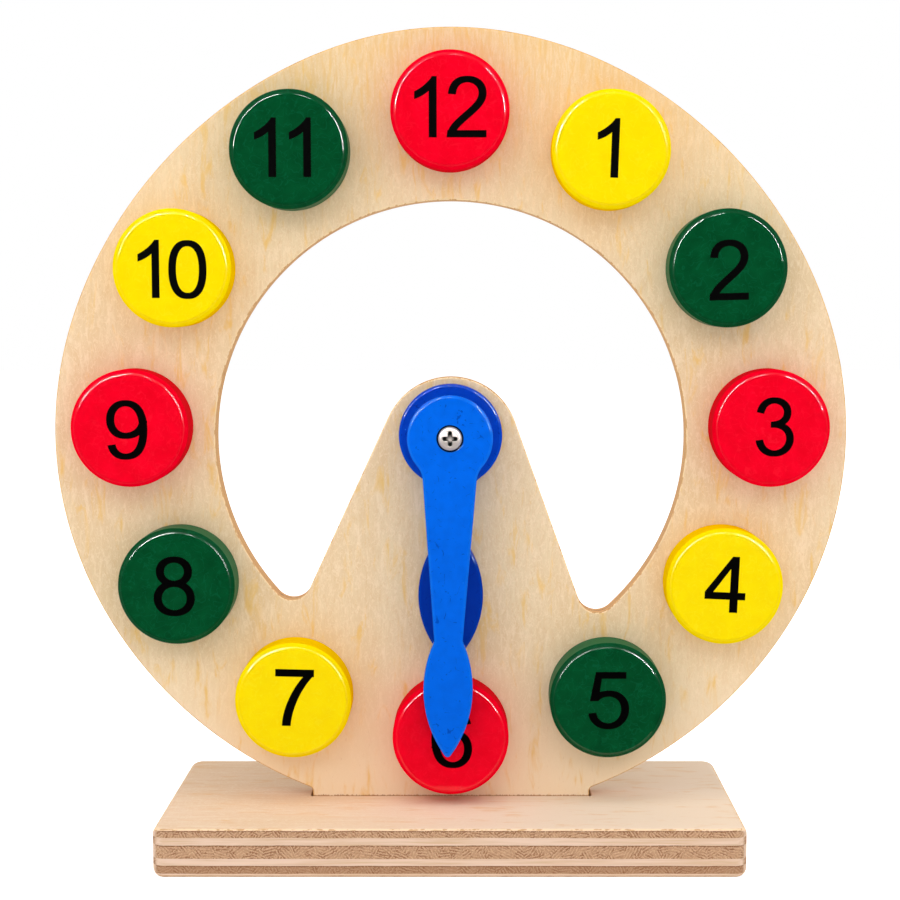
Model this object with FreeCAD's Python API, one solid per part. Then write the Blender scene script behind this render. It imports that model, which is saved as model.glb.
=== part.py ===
import FreeCAD, Part
import math
import os

from FreeCAD import Vector

# Free-standing wooden teaching clock, in millimetres.
# A ring-shaped plywood dial plate stands with its tenon glued into a plywood foot.  Twelve
# thick number discs sit on dowel pegs round the ring, and two wooden hands turn on one screw
# at the top of a tongue that rises into the ring's window.
# Frame: +Z up, the dial faces -Y, origin on the underside of the base, at its centre.

# Base board
base_length = 180.0
base_depth = 80.0
base_thickness = 15.0
base_corner_radius = 4.0
base_edge_round = 1.0

# Dial plate: an oval outline, a round window and a tongue that carries the pivot
plate_thickness = 8.0
plate_edge_round = 0.6
oval_half_width = 125.0
oval_crown_height = 126.8       # pivot, which is the oval's centre, to the top of the plate
oval_foot_sink = 5.8            # oval's lowest point below the top of the base, inside the tenon
crown_left_fullness = 0.52      # handle share of the upper quarter curve; 0.552 is an ellipse
crown_right_fullness = 0.528
foot_fullness = 0.54            # handle share of the lower quarter curves
window_radius = 74.4
window_drop = 0.95              # window's centre below the pivot
pocket_radius = 6.2             # rounding where the tongue's flanks meet the window
tongue_crown_radius = 21.7
tongue_crown_drop = 3.6         # crown's centre below the pivot
tongue_left_flare = 24.8        # degrees from upright, on the nine o'clock side
tongue_right_flare = 19.8       # degrees from upright, on the three o'clock side

# Tenon and its blind slot in the base
tenon_root_rise = 2.55          # the tenon is as long as the oval is wide at this height
tenon_depth = 10.0
tenon_root_radius = 1.5
tenon_corner_radius = 1.0
slot_side_gap = 0.05
slot_end_gap = 0.6
slot_bottom_gap = 0.2

# Number discs and the pegs that they turn and pull off on
disc_diameter = 36.5
disc_thickness = 12.0
disc_front_round = 1.8
disc_back_round = 0.5
disc_seat_gap = 0.1
disc_centre_rise = 2.7          # centre of the ring of discs above the pivot
disc_floor_gap = 3.45           # disc 6 clear of the top of the base
disc_crown_margin = 26.7        # top of the plate to the centre of disc 12
disc_side_margin = 25.6         # side of the plate to the centres of discs 3 and 9
disc_diagonal_bulge = 0.4       # other discs outside the mean of those two reaches
disc_count = 12
peg_diameter = 6.0
peg_depth_in_disc = 8.0
peg_end_gap = 0.3
peg_back_inset = 0.3            # peg's rear end in front of the plate's back
peg_chamfer = 0.5
peg_clearance = 0.05            # radial, in the plate and in the disc

# Hands: round hub, tapered blade and a leaf bounded by two arcs
hand_thickness = 4.5
hand_edge_round = 0.7
hand_rest_lean = 0.5            # degrees past six o'clock at rest
hand_float = 0.1                # axial play at each face of a hub
hand_bore_clearance = 0.05      # radial
minute_sweep_gap = 1.4          # minute hand clear of the discs' faces
minute_hub_radius = 13.2
minute_blade_root = 9.3         # half width where the blade leaves the pivot
minute_blade_tip = 4.1          # half width where the blade meets the leaf
minute_tip_past = 5.4           # leaf's lower end beyond the centre of disc 6
minute_leaf_half_width = 7.65
minute_leaf_half_length = 22.1
minute_neck_round = 8.0
hour_hub_radius = 16.2
hour_blade_root = 7.4
hour_blade_tip = 4.9
hour_tip_gap = 3.75             # leaf's lower end short of the nearest disc
hour_leaf_half_width = 10.2
hour_leaf_half_length = 22.1
hour_neck_round = 8.0
leaf_neck_round = 2.5
leaf_tip_round = 1.2

# Pivot: a pan-head screw through the hands and the tongue, held by a lock nut behind
screw_diameter = 4.0
screw_head_diameter = 7.3
screw_head_height = 2.4
screw_head_round = 1.3
screw_tip_stand = 1.5           # end of the shank beyond the nut
screw_tip_chamfer = 0.5
recess_span = 4.2
recess_width = 0.9
recess_depth = 1.5
head_well_clearance = 0.5       # radial, round the screw's head
head_well_depth = 1.3
front_washer_diameter = 12.0
front_washer_thickness = 0.8
spacer_diameter = 11.0
back_washer_diameter = 9.0
back_washer_thickness = 0.8
nut_across_flats = 7.0
nut_hex_height = 3.2
nut_collar_inset = 0.4          # collar's side inside the flats
nut_collar_height = 1.6
fixed_clearance = 0.1           # radial, round the screw in washers, spacer, plate and nut
edge_break = 0.3

# Ring of discs, measured from its centre
disc_end_reach = oval_crown_height - disc_crown_margin - disc_centre_rise
disc_side_reach = oval_half_width - disc_side_margin
disc_diagonal_reach = (disc_end_reach + disc_side_reach) / 2 + disc_diagonal_bulge
disc_six_drop = disc_end_reach - disc_centre_rise

# Heights, stacked up from the base through disc 6 to the pivot
pivot_z = base_thickness + disc_floor_gap + disc_diameter / 2 + disc_six_drop
disc_ring_z = pivot_z + disc_centre_rise
crown_z = pivot_z - tongue_crown_drop
window_z = pivot_z - window_drop
oval_top_z = pivot_z + oval_crown_height
oval_foot_z = base_thickness - oval_foot_sink
tenon_root_z = base_thickness + tenon_root_rise
tenon_foot_z = base_thickness - tenon_depth

# Layers from the plate's back to the screw's head, along Y
plate_front = -plate_thickness / 2
plate_back = plate_thickness / 2
disc_back = plate_front - disc_seat_gap
disc_front = disc_back - disc_thickness
hour_back = plate_front - front_washer_thickness - hand_float
hour_front = hour_back - hand_thickness
minute_back = disc_front - minute_sweep_gap
minute_front = minute_back - hand_thickness
head_seat = minute_front + head_well_depth - hand_float
nut_face = plate_back + back_washer_thickness
nut_end = nut_face + nut_hex_height + nut_collar_height
screw_end = nut_end + screw_tip_stand

UP = Vector(0, 0, 1)
FORWARD = Vector(0, -1, 0)
PIVOT = Vector(0, 0, pivot_z)
FLAT = 1e-4


def rod(radius, y_back, y_front, x=0.0, z=pivot_z):
    """Solid cylinder along Y between two planes."""
    return Part.makeCylinder(radius, y_back - y_front, Vector(x, y_back, z), FORWARD)


def slab(edges, y_back, y_front):
    """Flat piece with the given closed outline in the plane y = 0, between two planes."""
    face = Part.Face(Part.Wire(edges))
    face.translate(Vector(0, y_back, 0))
    return face.extrude(FORWARD * (y_back - y_front))


def polygon_slab(corners, y_back, y_front):
    """Flat piece with straight sides through (x, z) corners."""
    points = [Vector(x, 0, z) for x, z in corners]
    edges = [Part.makeLine(a, b) for a, b in zip(points, points[1:] + points[:1])]
    return slab(edges, y_back, y_front)


def rim_edges(shape, y):
    """Edges of a shape that lie in the plane at this y."""
    return [e for e in shape.Edges
            if abs(e.BoundBox.YMin - y) < FLAT and abs(e.BoundBox.YMax - y) < FLAT]


def edges_along_y(shape, inside):
    """Edges parallel to Y whose place (x, z) the test accepts."""
    found = []
    for edge in shape.Edges:
        box = edge.BoundBox
        if max(box.XLength, box.ZLength) < FLAT and inside(box.XMin, box.ZMin):
            found.append(edge)
    return found


def polar(angle, reach, centre_z):
    """Point (x, z) at a clock angle in degrees, clockwise from twelve."""
    turn = math.radians(angle)
    return reach * math.sin(turn), centre_z + reach * math.cos(turn)


def oval_quarter(side, end_z, fullness):
    """Quarter of the oval, from its side to its top or bottom, as one cubic curve."""
    height = end_z - pivot_z
    curve = Part.BezierCurve()
    curve.setPoles([Vector(side, 0, pivot_z),
                    Vector(side, 0, pivot_z + height * fullness),
                    Vector(side * fullness, 0, end_z),
                    Vector(0, 0, end_z)])
    return curve.toShape()


def make_oval():
    """The dial plate's outline without its tenon, in the plate's thickness."""
    quarters = [oval_quarter(side * oval_half_width, end_z, fullness)
                for side, end_z, fullness in ((1, oval_top_z, crown_right_fullness),
                                              (-1, oval_top_z, crown_left_fullness),
                                              (-1, oval_foot_z, foot_fullness),
                                              (1, oval_foot_z, foot_fullness))]
    return slab(Part.__sortEdges__(quarters), plate_back, plate_front)


def tenon_half_length():
    """Half the oval's width at the height where the tenon's ends leave it."""
    return make_oval().slice(UP, tenon_root_z)[0].BoundBox.XMax


def make_base():
    """Foot board with rounded corners and edges and the blind slot for the tenon."""
    board = Part.makeBox(base_length, base_depth, base_thickness,
                         Vector(-base_length / 2, -base_depth / 2, 0))
    uprights = [e for e in board.Edges if e.BoundBox.ZLength > base_thickness / 2]
    board = board.makeFillet(base_corner_radius, uprights)
    flat = [e for e in board.Edges if e.BoundBox.ZLength < FLAT]
    board = board.makeFillet(base_edge_round, flat)
    half_slot = tenon_half_length() + slot_end_gap
    wall = plate_thickness / 2 + slot_side_gap
    floor = tenon_foot_z - slot_bottom_gap
    slot = Part.makeBox(2 * half_slot, 2 * wall, base_thickness - floor,
                        Vector(-half_slot, -wall, floor))
    return board.cut(slot)


def flank_line(side, flare):
    """Where a tongue flank leaves the crown, and its downward direction."""
    turn = math.radians(flare)
    start = Vector(side * tongue_crown_radius * math.cos(turn), 0,
                   crown_z + tongue_crown_radius * math.sin(turn))
    return start, Vector(side * math.sin(turn), 0, -math.cos(turn))


def make_tongue():
    """Tongue with a round crown and flared flanks, long enough to cross the window."""
    reach = 2 * window_radius
    corners = []
    for side, flare in ((-1, tongue_left_flare), (1, tongue_right_flare)):
        start, down = flank_line(side, flare)
        foot = start + down * reach
        corners.append([(start.x, start.z), (foot.x, foot.z)])
    left, right = corners
    flanks = polygon_slab(left + right[::-1] + [(0, crown_z)], plate_back, plate_front)
    crown = rod(tongue_crown_radius, plate_back, plate_front, z=crown_z)
    return flanks.fuse(crown)


def make_window():
    """The opening in the plate: round, less the tongue, with soft pockets at its foot."""
    window = rod(window_radius, plate_back, plate_front, z=window_z).cut(make_tongue())
    pockets = edges_along_y(window, lambda x, z: z < window_z - window_radius / 2)
    return window.makeFillet(pocket_radius, pockets)


def disc_places():
    """Place (x, z) of each number disc, from one o'clock to twelve."""
    step = 360 / disc_count
    places = []
    for number in range(1, disc_count + 1):
        if number % 6 == 0:
            reach = disc_end_reach
        elif number % 3 == 0:
            reach = disc_side_reach
        else:
            reach = disc_diagonal_reach
        places.append(polar(number * step, reach, disc_ring_z))
    return places


def nearest_disc_reach():
    """Distance from the pivot to the centre of the disc that lies nearest to it."""
    return min(math.hypot(x, z - pivot_z) for x, z in disc_places())


def make_plate():
    """Dial plate with its tenon, window, softened edges, peg holes and pivot hole."""
    half = tenon_half_length()
    tenon = polygon_slab([(-half, tenon_foot_z), (half, tenon_foot_z),
                          (half, tenon_root_z), (-half, tenon_root_z)],
                         plate_back, plate_front)
    plate = make_oval().fuse(tenon).removeSplitter()
    corners = edges_along_y(plate, lambda x, z: abs(x) > half - FLAT and z < tenon_foot_z + FLAT)
    plate = plate.makeFillet(tenon_corner_radius, corners)
    roots = edges_along_y(plate, lambda x, z: abs(abs(x) - half) < FLAT and z > base_thickness)
    plate = plate.makeFillet(tenon_root_radius, roots)
    plate = plate.cut(make_window())
    plate = plate.makeFillet(plate_edge_round, rim_edges(plate, plate_front))
    plate = plate.makeFillet(plate_edge_round, rim_edges(plate, plate_back))
    for x, z in disc_places():
        plate = plate.cut(rod(peg_diameter / 2 + peg_clearance, plate_back, plate_front, x, z))
    return plate.cut(rod(screw_diameter / 2 + fixed_clearance, plate_back, plate_front))


def make_disc(x, z):
    """Number disc: a thick round block with a soft front rim and a blind bore behind."""
    disc = rod(disc_diameter / 2, disc_back, disc_front, x, z)
    disc = disc.makeFillet(disc_front_round, rim_edges(disc, disc_front))
    disc = disc.makeFillet(disc_back_round, rim_edges(disc, disc_back))
    bore = rod(peg_diameter / 2 + peg_clearance, disc_back, disc_back - peg_depth_in_disc, x, z)
    return disc.cut(bore)


def make_peg(x, z):
    """Dowel peg from just inside the plate's back to just short of the disc's bore end."""
    front = disc_back - peg_depth_in_disc + peg_end_gap
    peg = rod(peg_diameter / 2, plate_back - peg_back_inset, front, x, z)
    return peg.makeChamfer(peg_chamfer, rim_edges(peg, front))


def make_leaf(centre, half_width, half_length, y_back, y_front):
    """Leaf below the pivot: the overlap of two large discs, with its ends on the axis."""
    arc_radius = (half_length ** 2 + half_width ** 2) / (2 * half_width)
    offset = arc_radius - half_width
    left, right = [rod(arc_radius, y_back, y_front, x, pivot_z - centre)
                   for x in (offset, -offset)]
    return left.common(right)


def make_hand(hub_radius, blade_root, blade_tip, neck_round, leaf, y_back):
    """Hand pointing down from the pivot, in one thickness, with all its rims softened.

    The blade runs on inside the leaf, halfway from the leaf's upper end to its middle.
    """
    centre, half_width, half_length = leaf
    y_front = y_back - hand_thickness
    joint = centre - half_length / 2
    blade = polygon_slab([(-blade_root, pivot_z), (blade_root, pivot_z),
                          (blade_tip, pivot_z - joint), (-blade_tip, pivot_z - joint)],
                         y_back, y_front)
    hand = rod(hub_radius, y_back, y_front).fuse(blade)
    hand = hand.fuse(make_leaf(centre, half_width, half_length, y_back, y_front))
    hand = hand.removeSplitter()
    necks = edges_along_y(hand, lambda x, z: abs(x) > FLAT and pivot_z - hub_radius < z)
    hand = hand.makeFillet(neck_round, necks)
    leaf_top_z = pivot_z - centre + half_length
    waists = edges_along_y(hand, lambda x, z: abs(x) > FLAT and z < leaf_top_z)
    hand = hand.makeFillet(leaf_neck_round, waists)
    tip = edges_along_y(hand, lambda x, z: abs(x) < FLAT and z < pivot_z - centre)
    hand = hand.makeFillet(leaf_tip_round, tip)
    hand = hand.makeFillet(hand_edge_round, rim_edges(hand, y_front) + rim_edges(hand, y_back))
    hand = hand.cut(rod(screw_diameter / 2 + hand_bore_clearance, y_back, y_front))
    return hand


def make_screw():
    """Pan-head screw with a cross recess, from its head to the end of its shank."""
    head_top = head_seat - screw_head_height
    head = rod(screw_head_diameter / 2, head_seat, head_top)
    head = head.makeFillet(screw_head_round, rim_edges(head, head_top))
    for span_x, span_z in ((recess_span, recess_width), (recess_width, recess_span)):
        corner = Vector(-span_x / 2, head_top, pivot_z - span_z / 2)
        head = head.cut(Part.makeBox(span_x, recess_depth, span_z, corner))
    shank = rod(screw_diameter / 2, screw_end, head_seat)
    shank = shank.makeChamfer(screw_tip_chamfer, rim_edges(shank, screw_end))
    return head.fuse(shank).removeSplitter()


def make_nut():
    """Lock nut: a hexagon with a round collar, bored to clear the screw."""
    corner_radius = nut_across_flats / math.sqrt(3)
    hexagon = [polar(60 * k, corner_radius, pivot_z) for k in range(6)]
    collar_face = nut_face + nut_hex_height
    nut = polygon_slab(hexagon, collar_face, nut_face)
    collar_radius = nut_across_flats / 2 - nut_collar_inset
    nut = nut.fuse(rod(collar_radius, nut_end, collar_face))
    return nut.cut(rod(screw_diameter / 2 + fixed_clearance, nut_end, nut_face))


def make_pivot_washer(diameter, y_back, y_front):
    """Flat washer on the pivot screw with a broken edge at both faces."""
    washer = rod(diameter / 2, y_back, y_front)
    washer = washer.makeFillet(edge_break, rim_edges(washer, y_back) + rim_edges(washer, y_front))
    return washer.cut(rod(screw_diameter / 2 + fixed_clearance, y_back, y_front))


def lean(shape):
    """A hand turned a little past six o'clock, clockwise."""
    turned = shape.copy()
    turned.rotate(PIVOT, FORWARD, -hand_rest_lean)
    return turned


def make_minute_hand():
    """Minute hand, which reaches over disc 6, with a well in its hub for the screw's head."""
    centre = disc_six_drop + minute_tip_past - minute_leaf_half_length
    hand = make_hand(minute_hub_radius, minute_blade_root, minute_blade_tip, minute_neck_round,
                     (centre, minute_leaf_half_width, minute_leaf_half_length), minute_back)
    well_radius = screw_head_diameter / 2 + head_well_clearance
    return lean(hand.cut(rod(well_radius, minute_front + head_well_depth, minute_front)))


def make_hour_hand():
    """Hour hand, which turns inside the ring of discs."""
    reach = nearest_disc_reach() - disc_diameter / 2 - hour_tip_gap
    return make_hand(hour_hub_radius, hour_blade_root, hour_blade_tip, hour_neck_round,
                     (reach - hour_leaf_half_length, hour_leaf_half_width, hour_leaf_half_length),
                     hour_back)


def build():
    """Every piece of the clock by its name."""
    parts = {"base_board": make_base(), "dial_plate": make_plate()}
    for number, (x, z) in enumerate(disc_places(), start=1):
        parts[f"number_disc_{number:02d}"] = make_disc(x, z)
        parts[f"disc_peg_{number:02d}"] = make_peg(x, z)
    parts["hour_hand"] = make_hour_hand()
    parts["minute_hand"] = make_minute_hand()
    parts["front_washer"] = make_pivot_washer(
        front_washer_diameter, plate_front, plate_front - front_washer_thickness)
    parts["hand_spacer"] = make_pivot_washer(
        spacer_diameter, hour_front - hand_float, minute_back + hand_float)
    parts["pivot_screw"] = make_screw()
    parts["back_washer"] = make_pivot_washer(back_washer_diameter, nut_face, plate_back)
    parts["lock_nut"] = make_nut()
    return parts


os.makedirs("parts", exist_ok=True)
for name, shape in build().items():
    shape.exportStep(f"parts/{name}.step")
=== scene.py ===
"""Looks of a free-standing wooden teaching clock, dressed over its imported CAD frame.

Every piece is a closed skin of patches.  A patch is an edge profile carried along an outline, a
grid over two parameters, or a flat face between outlines.  All are worked out in millimetres as
whole arrays, with their exact normals, and end up in metres in the frame's own axes: +z up, the
dial faces -y.
"""

import logging
import math
from dataclasses import dataclass, field
from enum import Enum
from functools import cached_property

import bpy
import numpy as np
from mathutils import Matrix, Vector
from mathutils.geometry import delaunay_2d_cdt, tessellate_polygon


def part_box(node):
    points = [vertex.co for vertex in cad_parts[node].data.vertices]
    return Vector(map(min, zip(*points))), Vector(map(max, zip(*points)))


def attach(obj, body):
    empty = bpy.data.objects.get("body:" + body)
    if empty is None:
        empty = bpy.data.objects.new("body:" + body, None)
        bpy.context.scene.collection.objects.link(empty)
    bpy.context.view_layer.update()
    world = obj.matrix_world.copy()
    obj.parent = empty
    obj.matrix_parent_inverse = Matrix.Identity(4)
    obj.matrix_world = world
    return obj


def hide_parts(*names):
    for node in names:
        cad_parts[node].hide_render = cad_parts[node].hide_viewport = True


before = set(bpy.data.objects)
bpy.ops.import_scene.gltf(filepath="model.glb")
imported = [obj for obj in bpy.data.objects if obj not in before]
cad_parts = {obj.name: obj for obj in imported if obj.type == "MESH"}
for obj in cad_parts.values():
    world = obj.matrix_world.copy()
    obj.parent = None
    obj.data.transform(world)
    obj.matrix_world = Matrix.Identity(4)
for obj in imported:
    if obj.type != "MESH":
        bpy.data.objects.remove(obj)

log = logging.getLogger("teaching_clock")
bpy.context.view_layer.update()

Array = np.ndarray
Socket = bpy.types.NodeSocket
MM = 0.001                  # metres in a millimetre
CHORD_ERROR = 0.004         # mm between an arc and its chords
WELD = 1e-4                 # mm within which corners are one vertex
FLAT_CELL = 1e-12           # mm2, a grid cell below this has no direction of its own
PIVOT_Z = 131.4             # mm, height of the hands' axis
PIVOT = (0.0, 0.0, PIVOT_Z)
ACROSS_Y = (1.0, 0.0, 1.0)  # keeps what a vector has across the y axis
FACE_LEAN = -0.90           # y of the normal where a face's gloss is whole
SIDE_LEAN = -0.76           # y of the normal where it has gone
COLOURS = {"data_type": "RGBA", "out": 2}       # of a mix of the colours in inputs 6 and 7
SMOOTH = {"interpolation_type": "SMOOTHSTEP"}   # of a range that starts and ends softly


# ---------------------------------------------------------------- outlines

@dataclass(frozen=True)
class Outline:
    """Points of an outline as x + iz, with unit normals that point out of the wood.

    The wood lies on the left of the way along, for an outer outline and for a hole alike.
    """

    points: Array
    normals: Array

    def flipped(self) -> "Outline":
        """The same line walked backwards, with the wood on its other side."""
        return Outline(self.points[::-1], -self.normals[::-1])

    def mirrored(self) -> "Outline":
        """Its mirror image in the upright axis, with the wood still on the left."""
        return Outline(-self.points.conj()[::-1], -self.normals.conj()[::-1])


def arc(centre: complex, start: complex, end: complex) -> Outline:
    """Arc the short way round: the centre plus the start's arm, turned in even steps.

    Args:
        centre: Middle of the arc.
        start: First point.
        end: Last point, as far from the centre.

    Returns:
        The arc, with normals away from the centre where it turns to the left.
    """
    arm = start - centre
    sweep = np.angle((end - centre) / arm)
    step = 2 * math.sqrt(2 * CHORD_ERROR / abs(arm))
    count = 2 + int(abs(sweep) / step)
    arms = arm * np.exp(1j * sweep * np.linspace(0, 1, count))
    return Outline(centre + arms, np.sign(sweep) * arms / abs(arm))


def straight(start: complex, end: complex) -> Outline:
    """Straight run from start to end."""
    way = (end - start) / abs(end - start)
    return Outline(np.array([start, end]), np.full(2, -1j * way))


def cubic(controls: tuple[complex, ...], share: Array) -> tuple[Array, Array]:
    """Cubic curve: the four controls weighted by the terms of ((1 - t) + t) cubed.

    Args:
        controls: Start, two handles and end.
        share: Values of t.

    Returns:
        The points at t, and the unit directions there.
    """
    a, b, c, d = controls
    s = 1 - share
    points = a * s**3 + 3 * b * s**2 * share + 3 * c * s * share**2 + d * share**3
    way = (b - a) * s**2 + 2 * (c - b) * s * share + (d - c) * share**2
    return points, way / abs(way)


def circle(centre: complex, radius: float, hole: bool = False) -> Outline:
    """Whole circle.

    Args:
        centre: Its middle.
        radius: Its radius.
        hole: Whether the wood lies outside it.

    Returns:
        The closed outline, anticlockwise, or clockwise for a hole.
    """
    count = 4 * math.ceil(math.pi / 2 / (2 * math.sqrt(2 * CHORD_ERROR / radius)))
    turns = np.exp(2j * np.pi * np.arange(count) / count)
    if hole:
        return Outline(centre + radius * turns.conj(), -turns.conj())
    return Outline(centre + radius * turns, turns)


def around(count: int) -> Array:
    """Even angles once round, as a column."""
    return np.linspace(0, 2 * np.pi, count + 1)[:-1, None]


def closed(*runs: Outline) -> Outline:
    """One closed outline from runs that end where the next one starts."""
    return Outline(np.concatenate([run.points[:-1] for run in runs]),
                   np.concatenate([run.normals[:-1] for run in runs]))


def rounded_rectangle(half_x: float, half_z: float, radius: float, hole: bool = False) -> Outline:
    """Rectangle about the origin with round corners.

    Args:
        half_x: Half the width.
        half_z: Half the height.
        radius: Corner radius.
        hole: Whether the wood lies outside it.

    Returns:
        The closed outline.
    """
    runs = []
    corners = [complex(half_x, half_z), complex(-half_x, half_z),
               complex(-half_x, -half_z), complex(half_x, -half_z)]
    for corner, turn in zip(corners, (1, 1j, -1, -1j)):
        middle = corner - radius * (1 + 1j) * turn
        runs.append(arc(middle, middle + radius * turn, middle + radius * 1j * turn))
    ends = runs[1:] + runs[:1]
    loop = closed(*[run for a, b in zip(runs, ends)
                    for run in (a, straight(a.points[-1], b.points[0]))])
    return loop.flipped() if hole else loop


# ---------------------------------------------------------------- edges and skins

@dataclass(frozen=True)
class Edge:
    """Softened edge between a face and a side, as a quarter of a superellipse.

    With x its width and y its depth from the corner's middle, (x/width)^power + (y/depth)^power
    is one.  A power of 2 is round, and a smaller one is a bevel with soft corners.
    """

    width: float = 0.0
    depth: float = 0.0
    power: float = 2.0
    count: int = 9

    def section(self) -> tuple[Array, Array, Array, Array]:
        """Section from the face to the side, in even turns of its normal.

        Returns:
            Inset from the outline, drop below the face, and the normal's parts out and up.
        """
        if not self.width:
            return np.zeros(1), np.zeros(1), np.ones(1), np.zeros(1)
        turn = np.linspace(0, np.pi / 2, self.count)
        lean = 1 / (2 - 2 / self.power)
        out = (self.width * np.sin(turn)) ** lean
        up = (self.depth * np.abs(np.cos(turn))) ** lean
        size = np.hypot(out, up)
        inset = self.width * (1 - (out / size) ** (2 / self.power))
        drop = self.depth * (1 - (up / size) ** (2 / self.power))
        return inset, drop, np.sin(turn), np.cos(turn)


SHARP = Edge()


class Facing(Enum):
    """Plane of a piece's outlines, and so the way in which its depth grows."""

    DIAL = "outline in x and z, depth from front to back along +y"
    BOARD = "outline in x and y, depth from top to bottom along -z"


@dataclass
class Skin:
    """Closed skin of a piece, gathered patch by patch as loose triangles with corner normals."""

    facing: Facing = Facing.DIAL
    corners: list[Array] = field(default_factory=list)
    normals: list[Array] = field(default_factory=list)

    def lift(self, flat: Array, depth: Array | float) -> Array:
        """Outline points and depths as x, y, z."""
        flat, depth = np.broadcast_arrays(flat, depth)
        if self.facing is Facing.DIAL:
            return np.stack([flat.real, depth, flat.imag], axis=-1)
        return np.stack([flat.real, flat.imag, -depth], axis=-1)

    def quads(self, points: list[Array], normals: list[Array]) -> None:
        """Adds quads as two triangles each.

        Args:
            points: Their first, second, third and fourth corners.
            normals: Unit normals there.
        """
        for (a, b, c, d), store in ((points, self.corners), (normals, self.normals)):
            store.append(np.stack([a, b, c], axis=-2).reshape(-1, 3, 3))
            store.append(np.stack([a, c, d], axis=-2).reshape(-1, 3, 3))

    def grid(self, points: Array, normals: Array) -> None:
        """Adds a grid whose last row joins the first.

        Args:
            points: Rows by columns by x, y, z.
            normals: Unit normals of the same shape.
        """
        self.quads(*[[patch[:-1, :-1], patch[1:, :-1], patch[1:, 1:], patch[:-1, 1:]]
                     for patch in (np.concatenate([points, points[:1]]),
                                   np.concatenate([normals, normals[:1]]))])

    def surface(self, points: Array, outward: Array) -> None:
        """Adds a grid whose normals are the cross product of its two directions.

        Args:
            points: Rows by columns by x, y, z, where the last row joins the first.
            outward: A rough outward way, which settles the normals' sign.
        """
        wrapped = np.concatenate([points[-1:], points, points[:1]])
        along = wrapped[2:] - wrapped[:-2]
        normals = np.cross(along, np.gradient(points, axis=1))
        normals *= np.sign((normals * outward).sum(-1, keepdims=True))
        size = np.linalg.norm(normals, axis=-1, keepdims=True)
        flat = np.broadcast_to(outward, normals.shape)
        normals = np.where(size > FLAT_CELL, normals / np.maximum(size, FLAT_CELL), flat)
        self.grid(points, normals)

    def wall(self, outline: Outline, front: float, back: float, front_edge: Edge = SHARP,
             back_edge: Edge = SHARP, swell: Array | float = 1.0) -> tuple[Array, Array]:
        """Adds the side along an outline, with its two edges.

        Args:
            outline: Closed outline at the widest place.
            front: Depth of the front face.
            back: Depth of the back face.
            front_edge: Edge towards the front face.
            back_edge: Edge towards the back face.
            swell: How many times as large the edges are, at each point of the outline.

        Returns:
            The rings where the front face and the back face begin.
        """
        inset, drop, out, up = front_edge.section()
        inset_b, drop_b, out_b, up_b = back_edge.section()
        swell = np.broadcast_to(swell, outline.points.shape)[:, None]
        insets = np.concatenate([inset, inset_b[::-1]]) * swell
        depths = np.concatenate([front + drop * swell, back - drop_b[::-1] * swell], axis=1)
        outs = np.concatenate([out, out_b[::-1]])
        ups = np.concatenate([-up, up_b[::-1]])
        rings = outline.points[:, None] - insets * outline.normals[:, None]
        normals = self.lift(outline.normals[:, None] * outs, 0.0) + self.lift(np.zeros(1), ups)
        self.grid(self.lift(rings, depths), normals)
        return rings[:, 0], rings[:, -1]

    def cap(self, rings: list[Array], depth: float, way: int) -> None:
        """Adds the flat face inside the first ring and outside the others.

        Args:
            rings: Closed rings of points.
            depth: Depth of the face.
            way: -1 where it looks to the front, and 1 to the back.
        """
        flat = np.concatenate(rings)
        pairs = [np.stack([ring.real, ring.imag, 0 * ring.real], axis=1) for ring in rings]
        triangles = np.array(tessellate_polygon([[Vector(p) for p in pair] for pair in pairs]))
        self.face(flat[triangles], depth, way)

    def close(self, walls: list[tuple[Array, Array]], front: float, back: float) -> None:
        """Adds the front and the back face inside the first wall and outside the others."""
        self.cap([wall[0] for wall in walls], front, -1)
        self.cap([wall[1] for wall in walls], back, 1)

    def face(self, triangles: Array, depth: float, way: int) -> None:
        """Adds flat triangles at one depth.

        Args:
            triangles: Rows of three outline points.
            depth: Their depth.
            way: -1 where they look to the front, and 1 to the back.
        """
        self.corners.append(self.lift(triangles, depth))
        normal = self.lift(np.zeros(1), float(way))[0]
        self.normals.append(np.broadcast_to(normal, self.corners[-1].shape))

    def make(self, name: str, material: bpy.types.Material) -> bpy.types.Object:
        """Welds the patches into one mesh, with faces turned outwards and exact corner normals.

        Args:
            name: Name of the piece.
            material: Its material.

        Returns:
            The piece, at the origin, with its place in its mesh.
        """
        corners, normals = np.concatenate(self.corners), np.concatenate(self.normals)
        sides = np.cross(corners[:, 1] - corners[:, 0], corners[:, 2] - corners[:, 0])
        inward = (sides * normals.sum(1)).sum(-1) < 0
        corners[inward], normals[inward] = corners[inward, ::-1], normals[inward, ::-1]
        keys = np.round(corners.reshape(-1, 3) / WELD).astype(np.int64)
        _, first, index = np.unique(keys, axis=0, return_index=True, return_inverse=True)
        index = index.reshape(-1, 3)
        whole = ((index[:, 0] != index[:, 1]) & (index[:, 1] != index[:, 2])
                 & (index[:, 2] != index[:, 0]))
        mesh = bpy.data.meshes.new(name)
        mesh.from_pydata(corners.reshape(-1, 3)[first] * MM, [], index[whole].tolist())
        mesh.polygons.foreach_set("use_smooth", np.ones(len(mesh.polygons), bool))
        mesh.normals_split_custom_set(normals[whole].reshape(-1, 3).tolist())
        mesh.materials.append(material)
        piece = bpy.data.objects.new(name, mesh)
        bpy.context.scene.collection.objects.link(piece)
        return piece


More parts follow.
